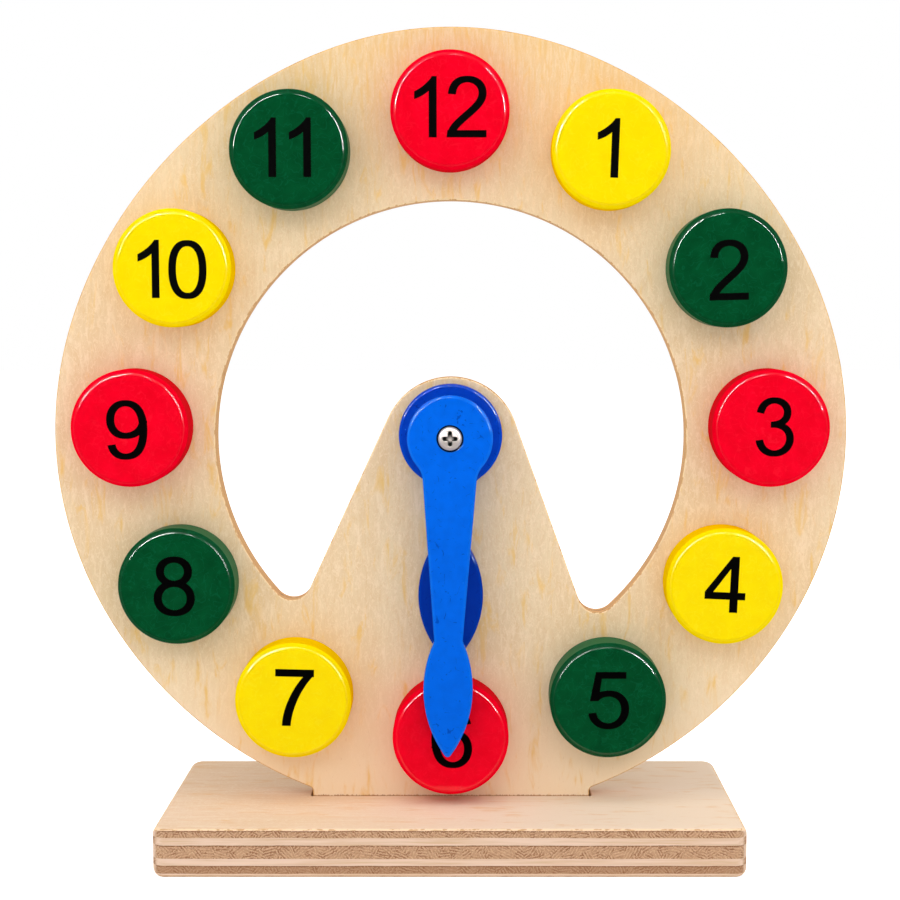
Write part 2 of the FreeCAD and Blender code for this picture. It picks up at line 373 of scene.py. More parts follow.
def turned(centre: complex, front: float, back: float, radius: float, bore: float = 0.0,
           front_edge: Edge = SHARP, back_edge: Edge = SHARP) -> Skin:
    """Skin of a turned piece.

    Args:
        centre: Its axis in the dial's plane.
        front: Depth of its front face.
        back: Depth of its back face.
        radius: Outer radius.
        bore: Radius of the bore through it, or zero.
        front_edge: Edge of the outer wall towards the front.
        back_edge: Edge of the outer wall towards the back.

    Returns:
        The closed skin.
    """
    skin = Skin()
    walls = [skin.wall(circle(centre, radius), front, back, front_edge, back_edge)]
    if bore:
        walls.append(skin.wall(circle(centre, bore, hole=True), front, back))
    skin.close(walls, front, back)
    return skin


def place(piece: bpy.types.Object, body: str, slot: str = "", *nodes: str) -> None:
    """Gives a piece its place in the clock.

    Args:
        piece: The piece.
        body: Body that it rides on.
        slot: The record's material slot, if it has one; not used.
        *nodes: CAD nodes that it stands for, which are then hidden.
    """
    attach(piece, body)
    if nodes:
        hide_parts(*nodes)
    log.info("%s: %d triangles on %s", piece.name, len(piece.data.polygons), body)


def node_box(node: str) -> tuple[Array, Array]:
    """Lowest and highest corner of a CAD node, in millimetres."""
    low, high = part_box(node)
    return np.array(low) / MM, np.array(high) / MM


# ---------------------------------------------------------------- finishes

def linear(colour: str) -> tuple[float, float, float, float]:
    """Linear RGBA of an sRGB hex colour."""
    parts = np.array([int(colour[k:k + 2], 16) for k in (1, 3, 5)]) / 255
    parts = np.where(parts <= 0.04045, parts / 12.92, ((parts + 0.055) / 1.055) ** 2.4)
    return (*parts.tolist(), 1.0)


class Look:
    """Shader nodes of one material or world.  A colour is a socket or an sRGB hex string."""

    def __init__(self, owner: bpy.types.Material | bpy.types.World) -> None:
        """Turns the nodes of a new material or world on."""
        owner.use_nodes = True
        self.owner = owner
        self.tree = owner.node_tree

    def put(self, socket: Socket, value: object) -> None:
        """Feeds an input.

        Args:
            socket: The input.
            value: Another node's output, a hex colour or a plain value.
        """
        if isinstance(value, Socket):
            self.tree.links.new(value, socket)
        else:
            socket.default_value = linear(value) if isinstance(value, str) else value

    def add(self, kind: str, inputs: dict | list | tuple = (), out: int | str | None = 0,
            **settings: object) -> Socket | bpy.types.bpy_prop_collection:
        """Adds a node with its settings and links.

        Args:
            kind: Node type without its ShaderNode prefix.
            inputs: Values or sockets, in order or by input name or number.
            out: The output to hand over, or None for all of them.
            **settings: The node's own properties.

        Returns:
            That output, or all of them.
        """
        made = self.tree.nodes.new("ShaderNode" + kind)
        for key, value in settings.items():
            setattr(made, key, value)
        for key, value in inputs.items() if isinstance(inputs, dict) else enumerate(inputs):
            self.put(made.inputs[key], value)
        return made.outputs if out is None else made.outputs[out]

    def lay(self, under: object, over: object, pattern: Socket, low: float, high: float,
            top: float = 1.0, **settings: object) -> Socket:
        """Lays a colour over another where a pattern is strong.

        Args:
            under: Colour below.
            over: Colour on it.
            pattern: Pattern that opens it.
            low: Value of the pattern where none shows.
            high: Value where it shows in full.
            top: Its share there.
            **settings: How it opens between them.

        Returns:
            The colour of both.
        """
        share = self.add("MapRange", [pattern, low, high, 0.0, top], **settings)
        return self.add("Mix", {0: share, 6: under, 7: over}, **COLOURS)

    def reach(self, middle: tuple[float, float, float]) -> Socket:
        """Distance in mm from the axis along y through a place."""
        arm = self.add("VectorMath", [self.spot, middle], operation="SUBTRACT")
        arm = self.add("VectorMath", [arm, ACROSS_Y], operation="MULTIPLY")
        return self.add("VectorMath", [arm], "Value", operation="LENGTH")

    def mirror_ray(self) -> Socket:
        """One for what is seen in a gloss or through glass."""
        rays = self.add("LightPath", out=None)
        return self.add("Math", [rays["Is Glossy Ray"], rays["Is Transmission Ray"]],
                        operation="MAXIMUM")

    @cached_property
    def spot(self) -> Socket:
        """Object coordinates in millimetres."""
        place = self.add("TexCoord", out="Object")
        return self.add("VectorMath", {0: place, "Scale": 1 / MM}, operation="SCALE")

    @cached_property
    def lean(self) -> bpy.types.bpy_prop_collection:
        """Parts of the surface's normal in the piece's own axes."""
        return self.add("SeparateXYZ", [self.add("TexCoord", out="Normal")], None)

    def finish(self, inputs: dict[str, object]) -> bpy.types.Material:
        """Feeds the principled shader, by input name, and hands over the material."""
        for name, value in inputs.items():
            self.put(self.tree.nodes["Principled BSDF"].inputs[name], value)
        return self.owner


def new_look(name: str) -> Look:
    """Nodes of a new material."""
    return Look(bpy.data.materials.new(name))


@dataclass(frozen=True)
class Plywood:
    """Birch plywood: veneers glued crosswise, sawn to shape, sanded and given a thin clear coat.

    The eye sees a curly, cloudy figure with fine wavy fibres along the face grain, and a few
    amber stains.  On the edges it sees plies: pale where they are cut along the grain, and
    where they are cut across it brown and torn into short slanting splinters.
    """

    name: str
    axes: tuple[int, int, int]          # axes along the face grain, across it, through the plies
    plies: tuple[float, ...]            # mm, faces of the plies through the board
    crosswise: tuple[int, ...]          # 1 for a ply that runs across the face grain
    face: str = "#F0D8B2"
    light: str = "#FCE3C2"
    cloud: str = "#E9C79A"
    amber: str = "#EBC384"
    stain: str = "#F1C470"
    fleck: str = "#C98F4E"
    pale_edge: str = "#ECCEB8"
    pale_streak: str = "#DBB998"
    torn_edge: str = "#C79D7B"
    torn_light: str = "#DEBB99"
    torn_dark: str = "#96694A"
    torn_deep: str = "#7A4F33"
    # colour of the rounded edges, which on the dial is a painted highlight
    rim: str = "#FCDCB6"
    far_rim: str = "#FCDCB6"
    rim_reach: float = 0.0              # mm from the middle at which the rim is the far rim
    middle: tuple[float, float, float] = (0.0, 0.0, 0.0)
    stain_share: float = 0.8
    cross_pale: float = 0.0             # how much paler a crosswise ply's torn edge is
    figure_size: tuple[float, float] = (9.0, 2.4)       # mm, along and across the fibre
    splinter: float = 0.85              # mm between the splinters of a torn edge
    pit_width: float = 0.35             # mm
    waver: float = 0.35                 # mm by which a ply's face wanders
    amber_run: tuple[float, float] = (0.0, 0.0)         # mm along the grain, into ambered wood
    pale_run: tuple[float, float] = (0.0, 0.0)          # mm along the grain, over which the face turns lighter
    glue_z: float = 0.0                 # mm, height of the glued joint, if above zero
    foot_z: float = 0.0                 # mm, height below which torn plies are darker, as painted shade near the floor; above zero it also turns on a painted contact shadow along the board's foot
    roughness: float = 0.5
    gloss: float = 0.04

    def ply(self, look: Look) -> bpy.types.bpy_prop_collection:
        """Which ply a place is in, by its depth through the board.

        Args:
            look: The material's nodes.

        Returns:
            Red marks a crosswise ply, green tells plies apart, and blue marks the pitted edge
            of a crosswise ply, where the saw comes out of it.
        """
        low, high = self.plies[0], self.plies[-1]
        stops = []
        for number, (at, across) in enumerate(zip(self.plies, self.crosswise)):
            tone = (number + 1) / len(self.plies)
            stops.append(((at - low) / (high - low), (across, tone, 0.0, 1.0)))
            if across:
                pitted = self.plies[number + 1] - self.pit_width
                stops.append(((pitted - low) / (high - low), (across, tone, 1.0, 1.0)))
        wander = look.add("TexNoise", {"Vector": look.spot, "Scale": 1 / 9, "Detail": 2.0})
        depth = look.add("SeparateXYZ", [look.spot], self.axes[2])
        level = look.add("Math", [wander, self.waver, depth], operation="MULTIPLY_ADD")
        share = look.add("MapRange", [level, low + self.waver / 2, high + self.waver / 2])
        ramp = look.add("ValToRGB", [share])
        ramp.node.color_ramp.interpolation = "CONSTANT"
        elements = ramp.node.color_ramp.elements
        while len(elements) < len(stops):
            elements.new(1.0)
        for element, (at, colour) in zip(elements, stops):
            element.position, element.color = at, colour
        return look.add("SeparateColor", [ramp], None)

    def fibres(self, look: Look, grain: Socket, length: float, width: float,
               detail: float = 3.0, rough: float = 0.55, warp: float = 0.0) -> Socket:
        """Noise whose cells lie along the fibre.

        Args:
            look: The material's nodes.
            grain: Grain coordinates in mm.
            length: Length of a cell along the fibre, in mm.
            width: Its width across it.
            detail: How many octaves are added.
            rough: How strong each is beside the one before.
            warp: How far it is bent by itself.

        Returns:
            Its value, from 0 to 1.
        """
        cells = look.add("VectorMath", [grain, (1 / length, 1 / width, 1 / width)],
                         operation="MULTIPLY")
        return look.add("TexNoise", {"Vector": cells, "Scale": 1.0, "Detail": detail,
                                     "Roughness": rough, "Distortion": warp})

    def material(self) -> bpy.types.Material:
        """Builds the material from object coordinates and the surface's own direction."""
        look = new_look(self.name)
        add = look.add
        along, across, through = self.axes
        parts, lean, ply = add("SeparateXYZ", [look.spot], None), look.lean, self.ply(look)
        # grain coordinates: along the fibre first, whichever way the ply runs
        upright = add("CombineXYZ", [parts[along], parts[across], parts[through]])
        crossed = add("CombineXYZ", [parts[across], parts[along], parts[through]])
        grain = add("Mix", {0: ply[0], 4: upright, 5: crossed}, 1, data_type="VECTOR")
        shifted = add("VectorMath", {0: (310.0, 170.0, 53.0), "Scale": ply[1]},
                      operation="SCALE")
        grain = add("VectorMath", [grain, shifted])
        torn = self.fibres(look, grain, 2.0, 0.5, 3.0, 0.7)
        figure = self.fibres(look, grain, *self.figure_size, rough=0.6, warp=1.1)
        streak = self.fibres(look, grain, 26.0, 0.8, 4.0, 0.65)
        face = self.figured(look, grain, parts[along], figure, streak)
        pale = look.lay(self.pale_edge, self.pale_streak, streak, 0.35, 0.7, **SMOOTH)
        brown = self.splinters(look, grain, torn)
        pits = add("MapRange", [torn, 0.36, 0.52, 0.0, 0.85], **SMOOTH)
        pits = add("Math", [ply[2], pits], operation="MULTIPLY")
        brown = add("Mix", {0: pits, 6: brown, 7: self.torn_deep}, **COLOURS)
        if self.cross_pale:
            crossing = add("Math", [ply[0], self.cross_pale], operation="MULTIPLY")
            brown = add("Mix", {0: crossing, 6: brown, 7: self.pale_edge}, **COLOURS)
        brown = look.lay(brown, self.torn_deep,
                         self.fibres(look, grain, 0.7, 0.45, 1.0, 0.5, 0.8), 0.66, 0.72, 0.65,
                         **SMOOTH)
        # painted shade near the floor: torn plies below foot_z turn darker
        if self.foot_z:
            brown = look.lay(brown, self.torn_dark, parts[2], self.foot_z, self.foot_z - 0.5,
                             0.4, **SMOOTH)
        # share of the surface that faces along the fibre: the cut across it
        squares = [add("Math", [lean[axis], 2.0], operation="POWER") for axis in (along, across)]
        cut = add("Mix", {0: ply[0], 2: squares[0], 3: squares[1]})
        cut = look.lay(pale, brown, cut, 0.30, 0.70, **SMOOTH)
        flat = add("Math", [lean[through]], operation="ABSOLUTE")
        # rounded edges take the rim colour: on the dial, near its middle, its cream is a painted
        # highlight along the window's and the tongue's edges, and farther out the far rim is the
        # amber veneer
        rim = self.rim
        if self.rim_reach:
            arm = add("VectorMath", [look.spot, self.middle], "Value", operation="DISTANCE")
            rim = look.lay(rim, self.far_rim, arm, self.rim_reach - 5, self.rim_reach + 5,
                           **SMOOTH)
        rim = look.lay(rim, self.fleck, self.fibres(look, grain, 3.0, 0.9, 2.0, 0.6), 0.52,
                       0.60, 0.75, **SMOOTH)
        colour = look.lay(cut, look.lay(rim, face, flat, 0.75, 0.995, **SMOOTH), flat, 0.25, 0.65,
                          **SMOOTH)
        # dark line where the tenon meets the base: partly glue seeping from the joint, partly
        # painted shade of the slot's gap
        if self.glue_z:
            seep = add("Math", [torn, -1.1, parts[2]], operation="MULTIPLY_ADD")
            colour = look.lay(colour, self.torn_dark, seep, self.glue_z - 0.1,
                              self.glue_z - 0.45, 0.8, **SMOOTH)
        # painted contact shadow: the lowest millimetre of the board darkens towards the torn-edge
        # brown, where it meets the floor
        if self.foot_z:
            colour = look.lay(colour, self.torn_edge, parts[2], 1.1, 0.2, 0.6, **SMOOTH)
        relief = add("MapRange", [flat, 0.4, 0.8], **SMOOTH)
        relief = add("Mix", {0: relief, 2: torn, 3: figure})
        return look.finish({"Base Color": colour, "Roughness": self.roughness,
                            "Specular IOR Level": self.gloss, "Normal": add("Bump", {
                                "Height": relief, "Strength": 0.5, "Distance": 0.04 * MM})})

    def figured(self, look: Look, grain: Socket, along: Socket, figure: Socket,
                streak: Socket) -> Socket:
        """Sanded face veneer: its figure, curls, stains and flecks, one laid over the other.

        Args:
            look: The material's nodes.
            grain: Grain coordinates.
            along: Place along the face grain.
            figure: Noise of the figure.
            streak: Noise of the long streaks.

        Returns:
            Its colour.
        """
        add, lay = look.add, look.lay
        face = lay(self.face, self.cloud, self.fibres(look, grain, 60.0, 14.0), 0.36, 0.66,
                   0.55, **SMOOTH)
        face = lay(face, self.light, figure, 0.50, 0.68, 0.6, **SMOOTH)
        face = lay(face, self.cloud, figure, 0.48, 0.32, 0.45, **SMOOTH)
        face = lay(face, self.cloud, streak, 0.35, 0.72, 0.2, **SMOOTH)
        # curls: fine lines along which a noise has one level
        for length, width, warp, level, line, colour in (
                (2.6, 1.3, 0.9, 0.5, 0.05, self.light), (2.1, 1.0, 1.2, 0.53, 0.04, self.cloud)):
            curl = self.fibres(look, grain, length, width, 1.0, 0.5, warp)
            curl = add("Math", [curl, level], operation="SUBTRACT")
            curl = add("Math", [curl], operation="ABSOLUTE")
            face = lay(face, colour, curl, line, 0.0, 0.6, **SMOOTH)
        if any(self.amber_run):
            drift = add("Math", [figure, 60.0, along], operation="MULTIPLY_ADD")
            drift = add("MapRange", [drift, *self.amber_run], **SMOOTH)
            drawn = add("MapRange", [self.fibres(look, grain, 8.0, 1.3, 3.0, 0.65, 0.5),
                                     0.38, 0.66], **SMOOTH)
            drawn = add("Math", [drawn, 0.75, 0.4], operation="MULTIPLY_ADD")
            share = add("Math", [drift, drawn], operation="MULTIPLY")
            face = add("Mix", {0: share, 6: face, 7: self.amber}, **COLOURS)
        # lighter along the grain over pale_run: on the dial this is painted light that lifts its
        # lower part towards the foot
        if any(self.pale_run):
            face = lay(face, self.light, along, *self.pale_run, 0.9, **SMOOTH)
        face = lay(face, self.stain, self.fibres(look, grain, 14.0, 3.6, 3.0, 0.6, 0.6), 0.53,
                   0.76, self.stain_share, **SMOOTH)
        return lay(face, self.fleck, self.fibres(look, grain, 2.0, 0.5, 1.0, 0.5, 0.6), 0.70,
                   0.77, 0.15, **SMOOTH)

    def splinters(self, look: Look, grain: Socket, torn: Socket) -> Socket:
        """Torn fibre ends: waves of splinters that slant another way in each patch.

        A wave is the sine of the distance along its slant over the splinters' spacing.

        Args:
            look: The material's nodes.
            grain: Grain coordinates.
            torn: Noise of the torn fibres.

        Returns:
            Their colour.
        """
        add = look.add
        end = add("SeparateXYZ", [grain], None)
        drift = add("TexNoise", {"Vector": grain, "Scale": 0.9, "Detail": 1.0}, "Color")
        patch = add("TexVoronoi", {"Vector": add("VectorMath", [drift, grain]), "Scale": 0.36},
                    "Color")
        slant = add("Math", [add("SeparateColor", [patch]), 2.4, -1.2],
                    operation="MULTIPLY_ADD")
        north, east = [add("Math", [slant], operation=turn) for turn in ("SINE", "COSINE")]
        ripple = add("Math", [add("Math", [end[1], north], operation="MULTIPLY"),
                              add("Math", [end[2], east], operation="MULTIPLY")])
        ragged = add("Math", [torn, 10.0], operation="MULTIPLY")
        wave = add("Math", [ripple, 2 * math.pi / self.splinter, ragged],
                   operation="MULTIPLY_ADD")
        wave = add("Math", [wave], operation="SINE")
        crest = add("MapRange", [wave, -0.2, 0.95, 0.0, 0.95], **SMOOTH)
        patchy = add("MapRange", [self.fibres(look, grain, 3.0, 2.2, 2.0), 0.40, 0.62], **SMOOTH)
        share = add("Math", [crest, patchy], operation="MULTIPLY")
        brown = add("Mix", {0: share, 6: self.torn_edge, 7: self.torn_dark}, **COLOURS)
        brown = look.lay(brown, self.torn_light, wave, -0.35, -0.95, 0.75, **SMOOTH)
        return look.lay(brown, self.torn_dark, torn, 0.42, 0.66, 0.35, **SMOOTH)


@dataclass(frozen=True)
class Lacquer:
    """Gloss nitro lacquer dipped over turned wood.

    The film is thick and even, so the eye sees one strong colour with a faint mottle, shallow
    dents and curved fibres from the wood below, and a fine orange peel that breaks up the
    highlights.  The sides hardly shine, and their colour is painted light: deeper on the red and
    yellow discs as painted shade, and lighter on the green ones as a painted sheen.
    """

    name: str
    colour: str
    deep: str
    fibre: str
    # colour of the side walls: a painted shade, or on the green discs a painted sheen
    side: str
    side_gloss: float
    roughness: float = 0.065
    side_roughness: float = 0.38
    gloss: float = 0.5
    mottle_size: float = 5.0            # mm
    peel_size: float = 1.1              # mm
    dent_size: float = 7.0              # mm
    dent_share: float = 4.0             # depth of the dents over that of the peel
    curl_size: float = 2.8              # mm, size of the loops that the fibres follow
    relief: float = 0.016               # mm

    def material(self) -> bpy.types.Material:
        """Builds the material from object coordinates."""
        look = new_look(self.name)
        add, spot, lean = look.add, look.spot, look.lean[1]
        mottle = add("TexNoise", {"Vector": spot, "Scale": 1 / self.mottle_size, "Detail": 4.0,
                                  "Roughness": 0.6})
        face = look.lay(self.colour, self.deep, mottle, 0.35, 0.7, 0.8)
        curl = add("TexNoise", {"Vector": spot, "Scale": 1 / self.curl_size, "Detail": 1.0,
                                "Distortion": 0.8})
        curl = add("Math", [add("Math", [curl, 0.5], operation="SUBTRACT")],
                   operation="ABSOLUTE")
        face = look.lay(face, self.fibre, curl, 0.03, 0.0, 0.35)
        peel = add("TexNoise", {"Vector": spot, "Scale": 1 / self.peel_size, "Detail": 2.0})
        dents = add("TexNoise", {"Vector": spot, "Scale": 1 / self.dent_size, "Detail": 1.0})
        height = add("Math", [dents, self.dent_share, peel], operation="MULTIPLY_ADD")
        rough, gloss = [add("MapRange", [lean, SIDE_LEAN, FACE_LEAN, side, front], **SMOOTH)
                        for side, front in ((self.side_roughness, self.roughness),
                                            (self.side_gloss, self.gloss))]
        # painted light on the side walls: the side colour, a painted shade on red and yellow and
        # a painted sheen on green
        return look.finish({"Base Color": look.lay(face, self.side, lean, -0.5, -0.1),
                            "Roughness": rough, "Specular IOR Level": gloss,
                            "Normal": add("Bump", {"Height": height, "Strength": 0.6,
                                                   "Distance": self.relief * MM})})


@dataclass(frozen=True)
class SatinPaint:
    """Satin paint rolled over plywood hands.

    The eye sees a strong even blue with a soft sheen, broken by short curved fibres and dots of
    darker paint and a few lighter specks, as where dust was caught in the film.  The rounded rims
    are lighter as a painted highlight, the colour past the hub is deeper as painted shade, and
    the well and bore round the screw are darkened as painted shade.
    """

    name: str
    colour: str
    dark: str
    light: str
    # lighter colour of the rounded rims, a painted highlight
    bevel: str
    # painted shade in the well and round the bore, where the screw and the spacer shade the hand
    grime: str = "#050D22"
    roughness: float = 0.07
    gloss: float = 0.4
    side_gloss: float = 0.01
    curl_size: float = 3.4              # mm, size of the loops that the fibres follow
    fibre_width: float = 0.012          # share of the noise's range that a fibre takes
    dot_spacing: float = 3.6            # mm
    grime_radius: float = 4.3           # mm, reach of the painted shade round the pivot
    fade: float = 0.1                   # share of painted shade past the hub, where the colour turns deeper
    past_hub: tuple[float, float] = (18.0, 32.0)        # mm from the pivot

    def material(self) -> bpy.types.Material:
        """Builds the material from object coordinates."""
        look = new_look(self.name)
        add, lay, spot, lean = look.add, look.lay, look.spot, look.lean[1]
        fibre = add("TexNoise", {"Vector": spot, "Scale": 1 / self.curl_size, "Detail": 0.0})
        fibre = add("Math", [fibre, 0.5, self.fibre_width], operation="COMPARE")
        broken = add("TexNoise", {"Vector": spot, "Scale": 0.9, "Detail": 1.0})
        broken = add("MapRange", [broken, 0.54, 0.60])
        cells = add("TexVoronoi", {"Vector": spot, "Scale": 1 / self.dot_spacing}, None)
        dots = add("MapRange", [cells["Distance"], 0.075, 0.04])
        hue = add("SeparateColor", [cells["Color"]])
        dark, light = [add("Math", [dots, add("Math", [hue, level], operation=side)],
                           operation="MULTIPLY")
                       for side, level in (("GREATER_THAN", 0.5), ("LESS_THAN", 0.2))]
        marks = add("Math", [add("Math", [fibre, broken], operation="MULTIPLY"), dark],
                    operation="MAXIMUM")
        mottle = add("TexNoise", {"Vector": spot, "Scale": 0.35, "Detail": 4.0})
        reach = look.reach(PIVOT)
        # painted highlight: the rounded rims turn towards the lighter bevel colour, as where they
        # catch the lamps
        rim_light = add("Math", [add("MapRange", [lean, -0.99, -0.9, 0.0, 0.25]),
                            add("MapRange", [lean, -0.45, -0.7])], operation="MULTIPLY")
        colour = lay(self.colour, self.dark, mottle, 0.4, 0.7, 0.18)
        marked = add("Math", [marks, 0.75], operation="MULTIPLY")
        for share, over in ((marked, self.dark), (light, self.light), (rim_light, self.bevel)):
            colour = add("Mix", {0: share, 6: colour, 7: over}, **COLOURS)
        # painted shade past the hub, deepest on the hour hand's leaf below the minute hand
        colour = lay(colour, self.dark, reach, *self.past_hub, self.fade)
        # painted shade: dark within its radius of the pivot
        colour = lay(colour, self.grime, reach, self.grime_radius, self.grime_radius - 0.25)
        relief = add("Math", [marks, -0.5, mottle], operation="MULTIPLY_ADD")
        return look.finish({
            "Base Color": colour, "Roughness": self.roughness,
            "Specular IOR Level": add("MapRange", [lean, FACE_LEAN, SIDE_LEAN, self.gloss,
                                                   self.side_gloss]),
            "Normal": add("Bump", {"Height": relief, "Strength": 0.5, "Distance": 0.03 * MM})})


@dataclass(frozen=True)
class Dowel:
    """Bare beech dowel: warm and plain, with fine dark rays on its side and pores on its ends."""

    name: str = "bare_beech_dowel"
    wood: str = "#E0BC8C"
    ray: str = "#B98A58"
    ray_length: float = 5.0             # mm, along y
    ray_width: float = 0.45             # mm

    def material(self) -> bpy.types.Material:
        """Builds the material, with its fibre along y."""
        look = new_look(self.name)
        width, length = 1 / self.ray_width, 1 / self.ray_length
        rays = look.add("VectorMath", [look.spot, (width, length, width)],
                        operation="MULTIPLY")
        rays = look.add("TexNoise", {"Vector": rays, "Scale": 1.0, "Detail": 3.0})
        return look.finish({"Base Color": look.lay(self.wood, self.ray, rays, 0.4, 0.7, 0.8),
                            "Roughness": 0.6, "Normal": look.add("Bump", {
                                "Height": rays, "Strength": 0.4, "Distance": 0.05 * MM})})


@dataclass(frozen=True)
class NickelPlate:
    """Satin nickel over pressed steel: pale and slightly warm, with a soft grain in the gloss.

    Its fine blasted grain scatters about as much light as it mirrors, so that the eye sees it
    pale all round.  The walls of the screw's recess carry painted shade, and its floor is left
    undarkened.
    """

    name: str = "nickel_plated_steel"
    colour: str = "#F4E8E1"
    roughness: float = 0.34
    grease: str = "#1F1E19"
    metallic: float = 0.55
    grain: float = 0.35                 # mm
    head_y: float = 0.0                 # mm, top of the screw's head
    dome: float = 0.08                  # 1/mm, how fast the head falls away from its top
    recess_radius: float = 2.6          # mm
    greasy: tuple[float, float, float, float] = (0.1, 0.25, 1.1, 1.4)  # mm below the dome, where the painted shade starts, is whole, fades and ends

    def material(self) -> bpy.types.Material:
        """Builds the material from object coordinates."""
        look = new_look(self.name)
        add = look.add
        grain = add("TexNoise", {"Vector": look.spot, "Scale": 1 / self.grain, "Detail": 2.0})
        reach = look.reach(PIVOT)
        fall = add("Math", [add("Math", [reach, 2.0], operation="POWER"), -self.dome,
                            add("SeparateXYZ", [look.spot], 1)], operation="MULTIPLY_ADD")
        # painted shade on the recess walls, from just below the dome to near its floor
        start, full, fade, end = [self.head_y + depth for depth in self.greasy]
        dark = add("Math", [add("MapRange", [fall, start, full]),
                            add("MapRange", [fall, end, fade])], operation="MULTIPLY")
        inside = add("MapRange", [reach, self.recess_radius + 0.1, self.recess_radius - 0.1])
        dark = add("Math", [dark, inside], operation="MULTIPLY")
        rough = add("MapRange", [grain, 0.0, 1.0, self.roughness - 0.06, self.roughness + 0.1])
        return look.finish({
            "Base Color": add("Mix", {0: dark, 6: self.colour, 7: self.grease}, **COLOURS),
            "Roughness": rough, "Metallic": self.metallic,
            "Normal": add("Bump", {"Height": grain, "Strength": 0.3, "Distance": 0.01 * MM})})


@dataclass(frozen=True)
class Ink:
    """Black screen-printing ink: a flat matt film that still shows a trace of the peel below."""

    name: str = "black_printing_ink"
    colour: str = "#020202"
    roughness: float = 0.35
    peel_size: float = 1.1              # mm

    def material(self) -> bpy.types.Material:
        """Builds the material from object coordinates."""
        look = new_look(self.name)
        peel = look.add("TexNoise", {"Vector": look.spot, "Scale": 1 / self.peel_size,
                                     "Detail": 2.0})
        rough = look.add("MapRange", [peel, 0.0, 1.0, self.roughness - 0.05,
                                      self.roughness + 0.08])
        return look.finish({"Base Color": self.colour, "Roughness": rough,
                            "Specular IOR Level": 0.05})


@dataclass(frozen=True)
class Nylon:
    """Moulded nylon ring of the lock nut: milky, waxy and slightly see-through at its rim."""

    name: str = "milky_nylon"
    colour: str = "#E9E6DC"
    speckle: str = "#D6D1C2"

    def material(self) -> bpy.types.Material:
        """Builds the material from object coordinates."""
        look = new_look(self.name)
        milk = look.add("TexNoise", {"Vector": look.spot, "Scale": 2.0, "Detail": 2.0})
        return look.finish({"Base Color": look.add("Mix", {0: milk, 6: self.colour,
                                                           7: self.speckle}, **COLOURS),
                            "Roughness": 0.45})


class Tone(Enum):
    """Lacquer of a number disc, in the order of what is left of its number divided by three."""

    # the fourth colour is the side walls' painted light: a painted shade on red and yellow, a
    # painted sheen on green
    RED = Lacquer("red_gloss_lacquer", "#F80024", "#E9001C", "#FF2438", "#DA1420", 0.0)
    YELLOW = Lacquer("yellow_gloss_lacquer", "#FDE100", "#FAD800", "#FFEC2A", "#F6C800", 0.0)
    GREEN = Lacquer("green_gloss_lacquer", "#024D28", "#01401F", "#0B6440", "#106439", 0.03)

    @property
    def slot(self) -> str:
        """The record's material slot for this lacquer."""
        return f"{self.name.lower()}_lacquer"


# ---------------------------------------------------------------- stand

@dataclass
class BaseBoard:
    """Foot board: round corners, softened rims and the blind slot for the dial's tenon."""

    corner_radius: float = 4.0
    edge: Edge = Edge(1.0, 1.0)
    end_swell: float = 1.3              # how much larger the edges are at the two ends
    slot_half_length: float = 45.0
    slot_half_width: float = 4.05
    slot_floor: float = 4.8
    slot_edge: Edge = Edge(0.25, 0.25, count=4)
    slot_corner_radius: float = 0.4
    plies: tuple[float, ...] = (0.0, 1.2, 3.6, 5.8, 9.9, 12.2, 14.4, 15.0)
    crosswise: tuple[int, ...] = (0, 1, 0, 1, 0, 1, 0)

    def build(self) -> None:
        """Builds the board from the frame's box and puts it on the stand."""
        low, high = node_box("base_board")
        skin = Skin(Facing.BOARD)
        outer = rounded_rectangle(high[0], high[1], self.corner_radius)
        slot = rounded_rectangle(self.slot_half_length, self.slot_half_width,
                                 self.slot_corner_radius, hole=True)
        swell = 1 + self.end_swell * outer.normals.real ** 2
        top, bottom = skin.wall(outer, -high[2], -low[2], self.edge, self.edge, swell)
        mouth, floor = skin.wall(slot, -high[2], -self.slot_floor, self.slot_edge)
        skin.cap([top, mouth], -high[2], -1)
        skin.cap([floor], -self.slot_floor, -1)
        skin.cap([bottom], -low[2], 1)
        finish = Plywood("birch_plywood_base", (0, 1, 2), self.plies, self.crosswise,
                         face="#EFD2B6", cloud="#E8C8A4", light="#F5E0C9", stain="#E6B36E",
                         stain_share=0.5, figure_size=(22.0, 1.8), roughness=0.65, foot_z=4.5,
                         pale_run=(-90.0, 60.0))
        place(skin.make("plywood_base", finish.material()), "stand", "plywood_base",
              "base_board")


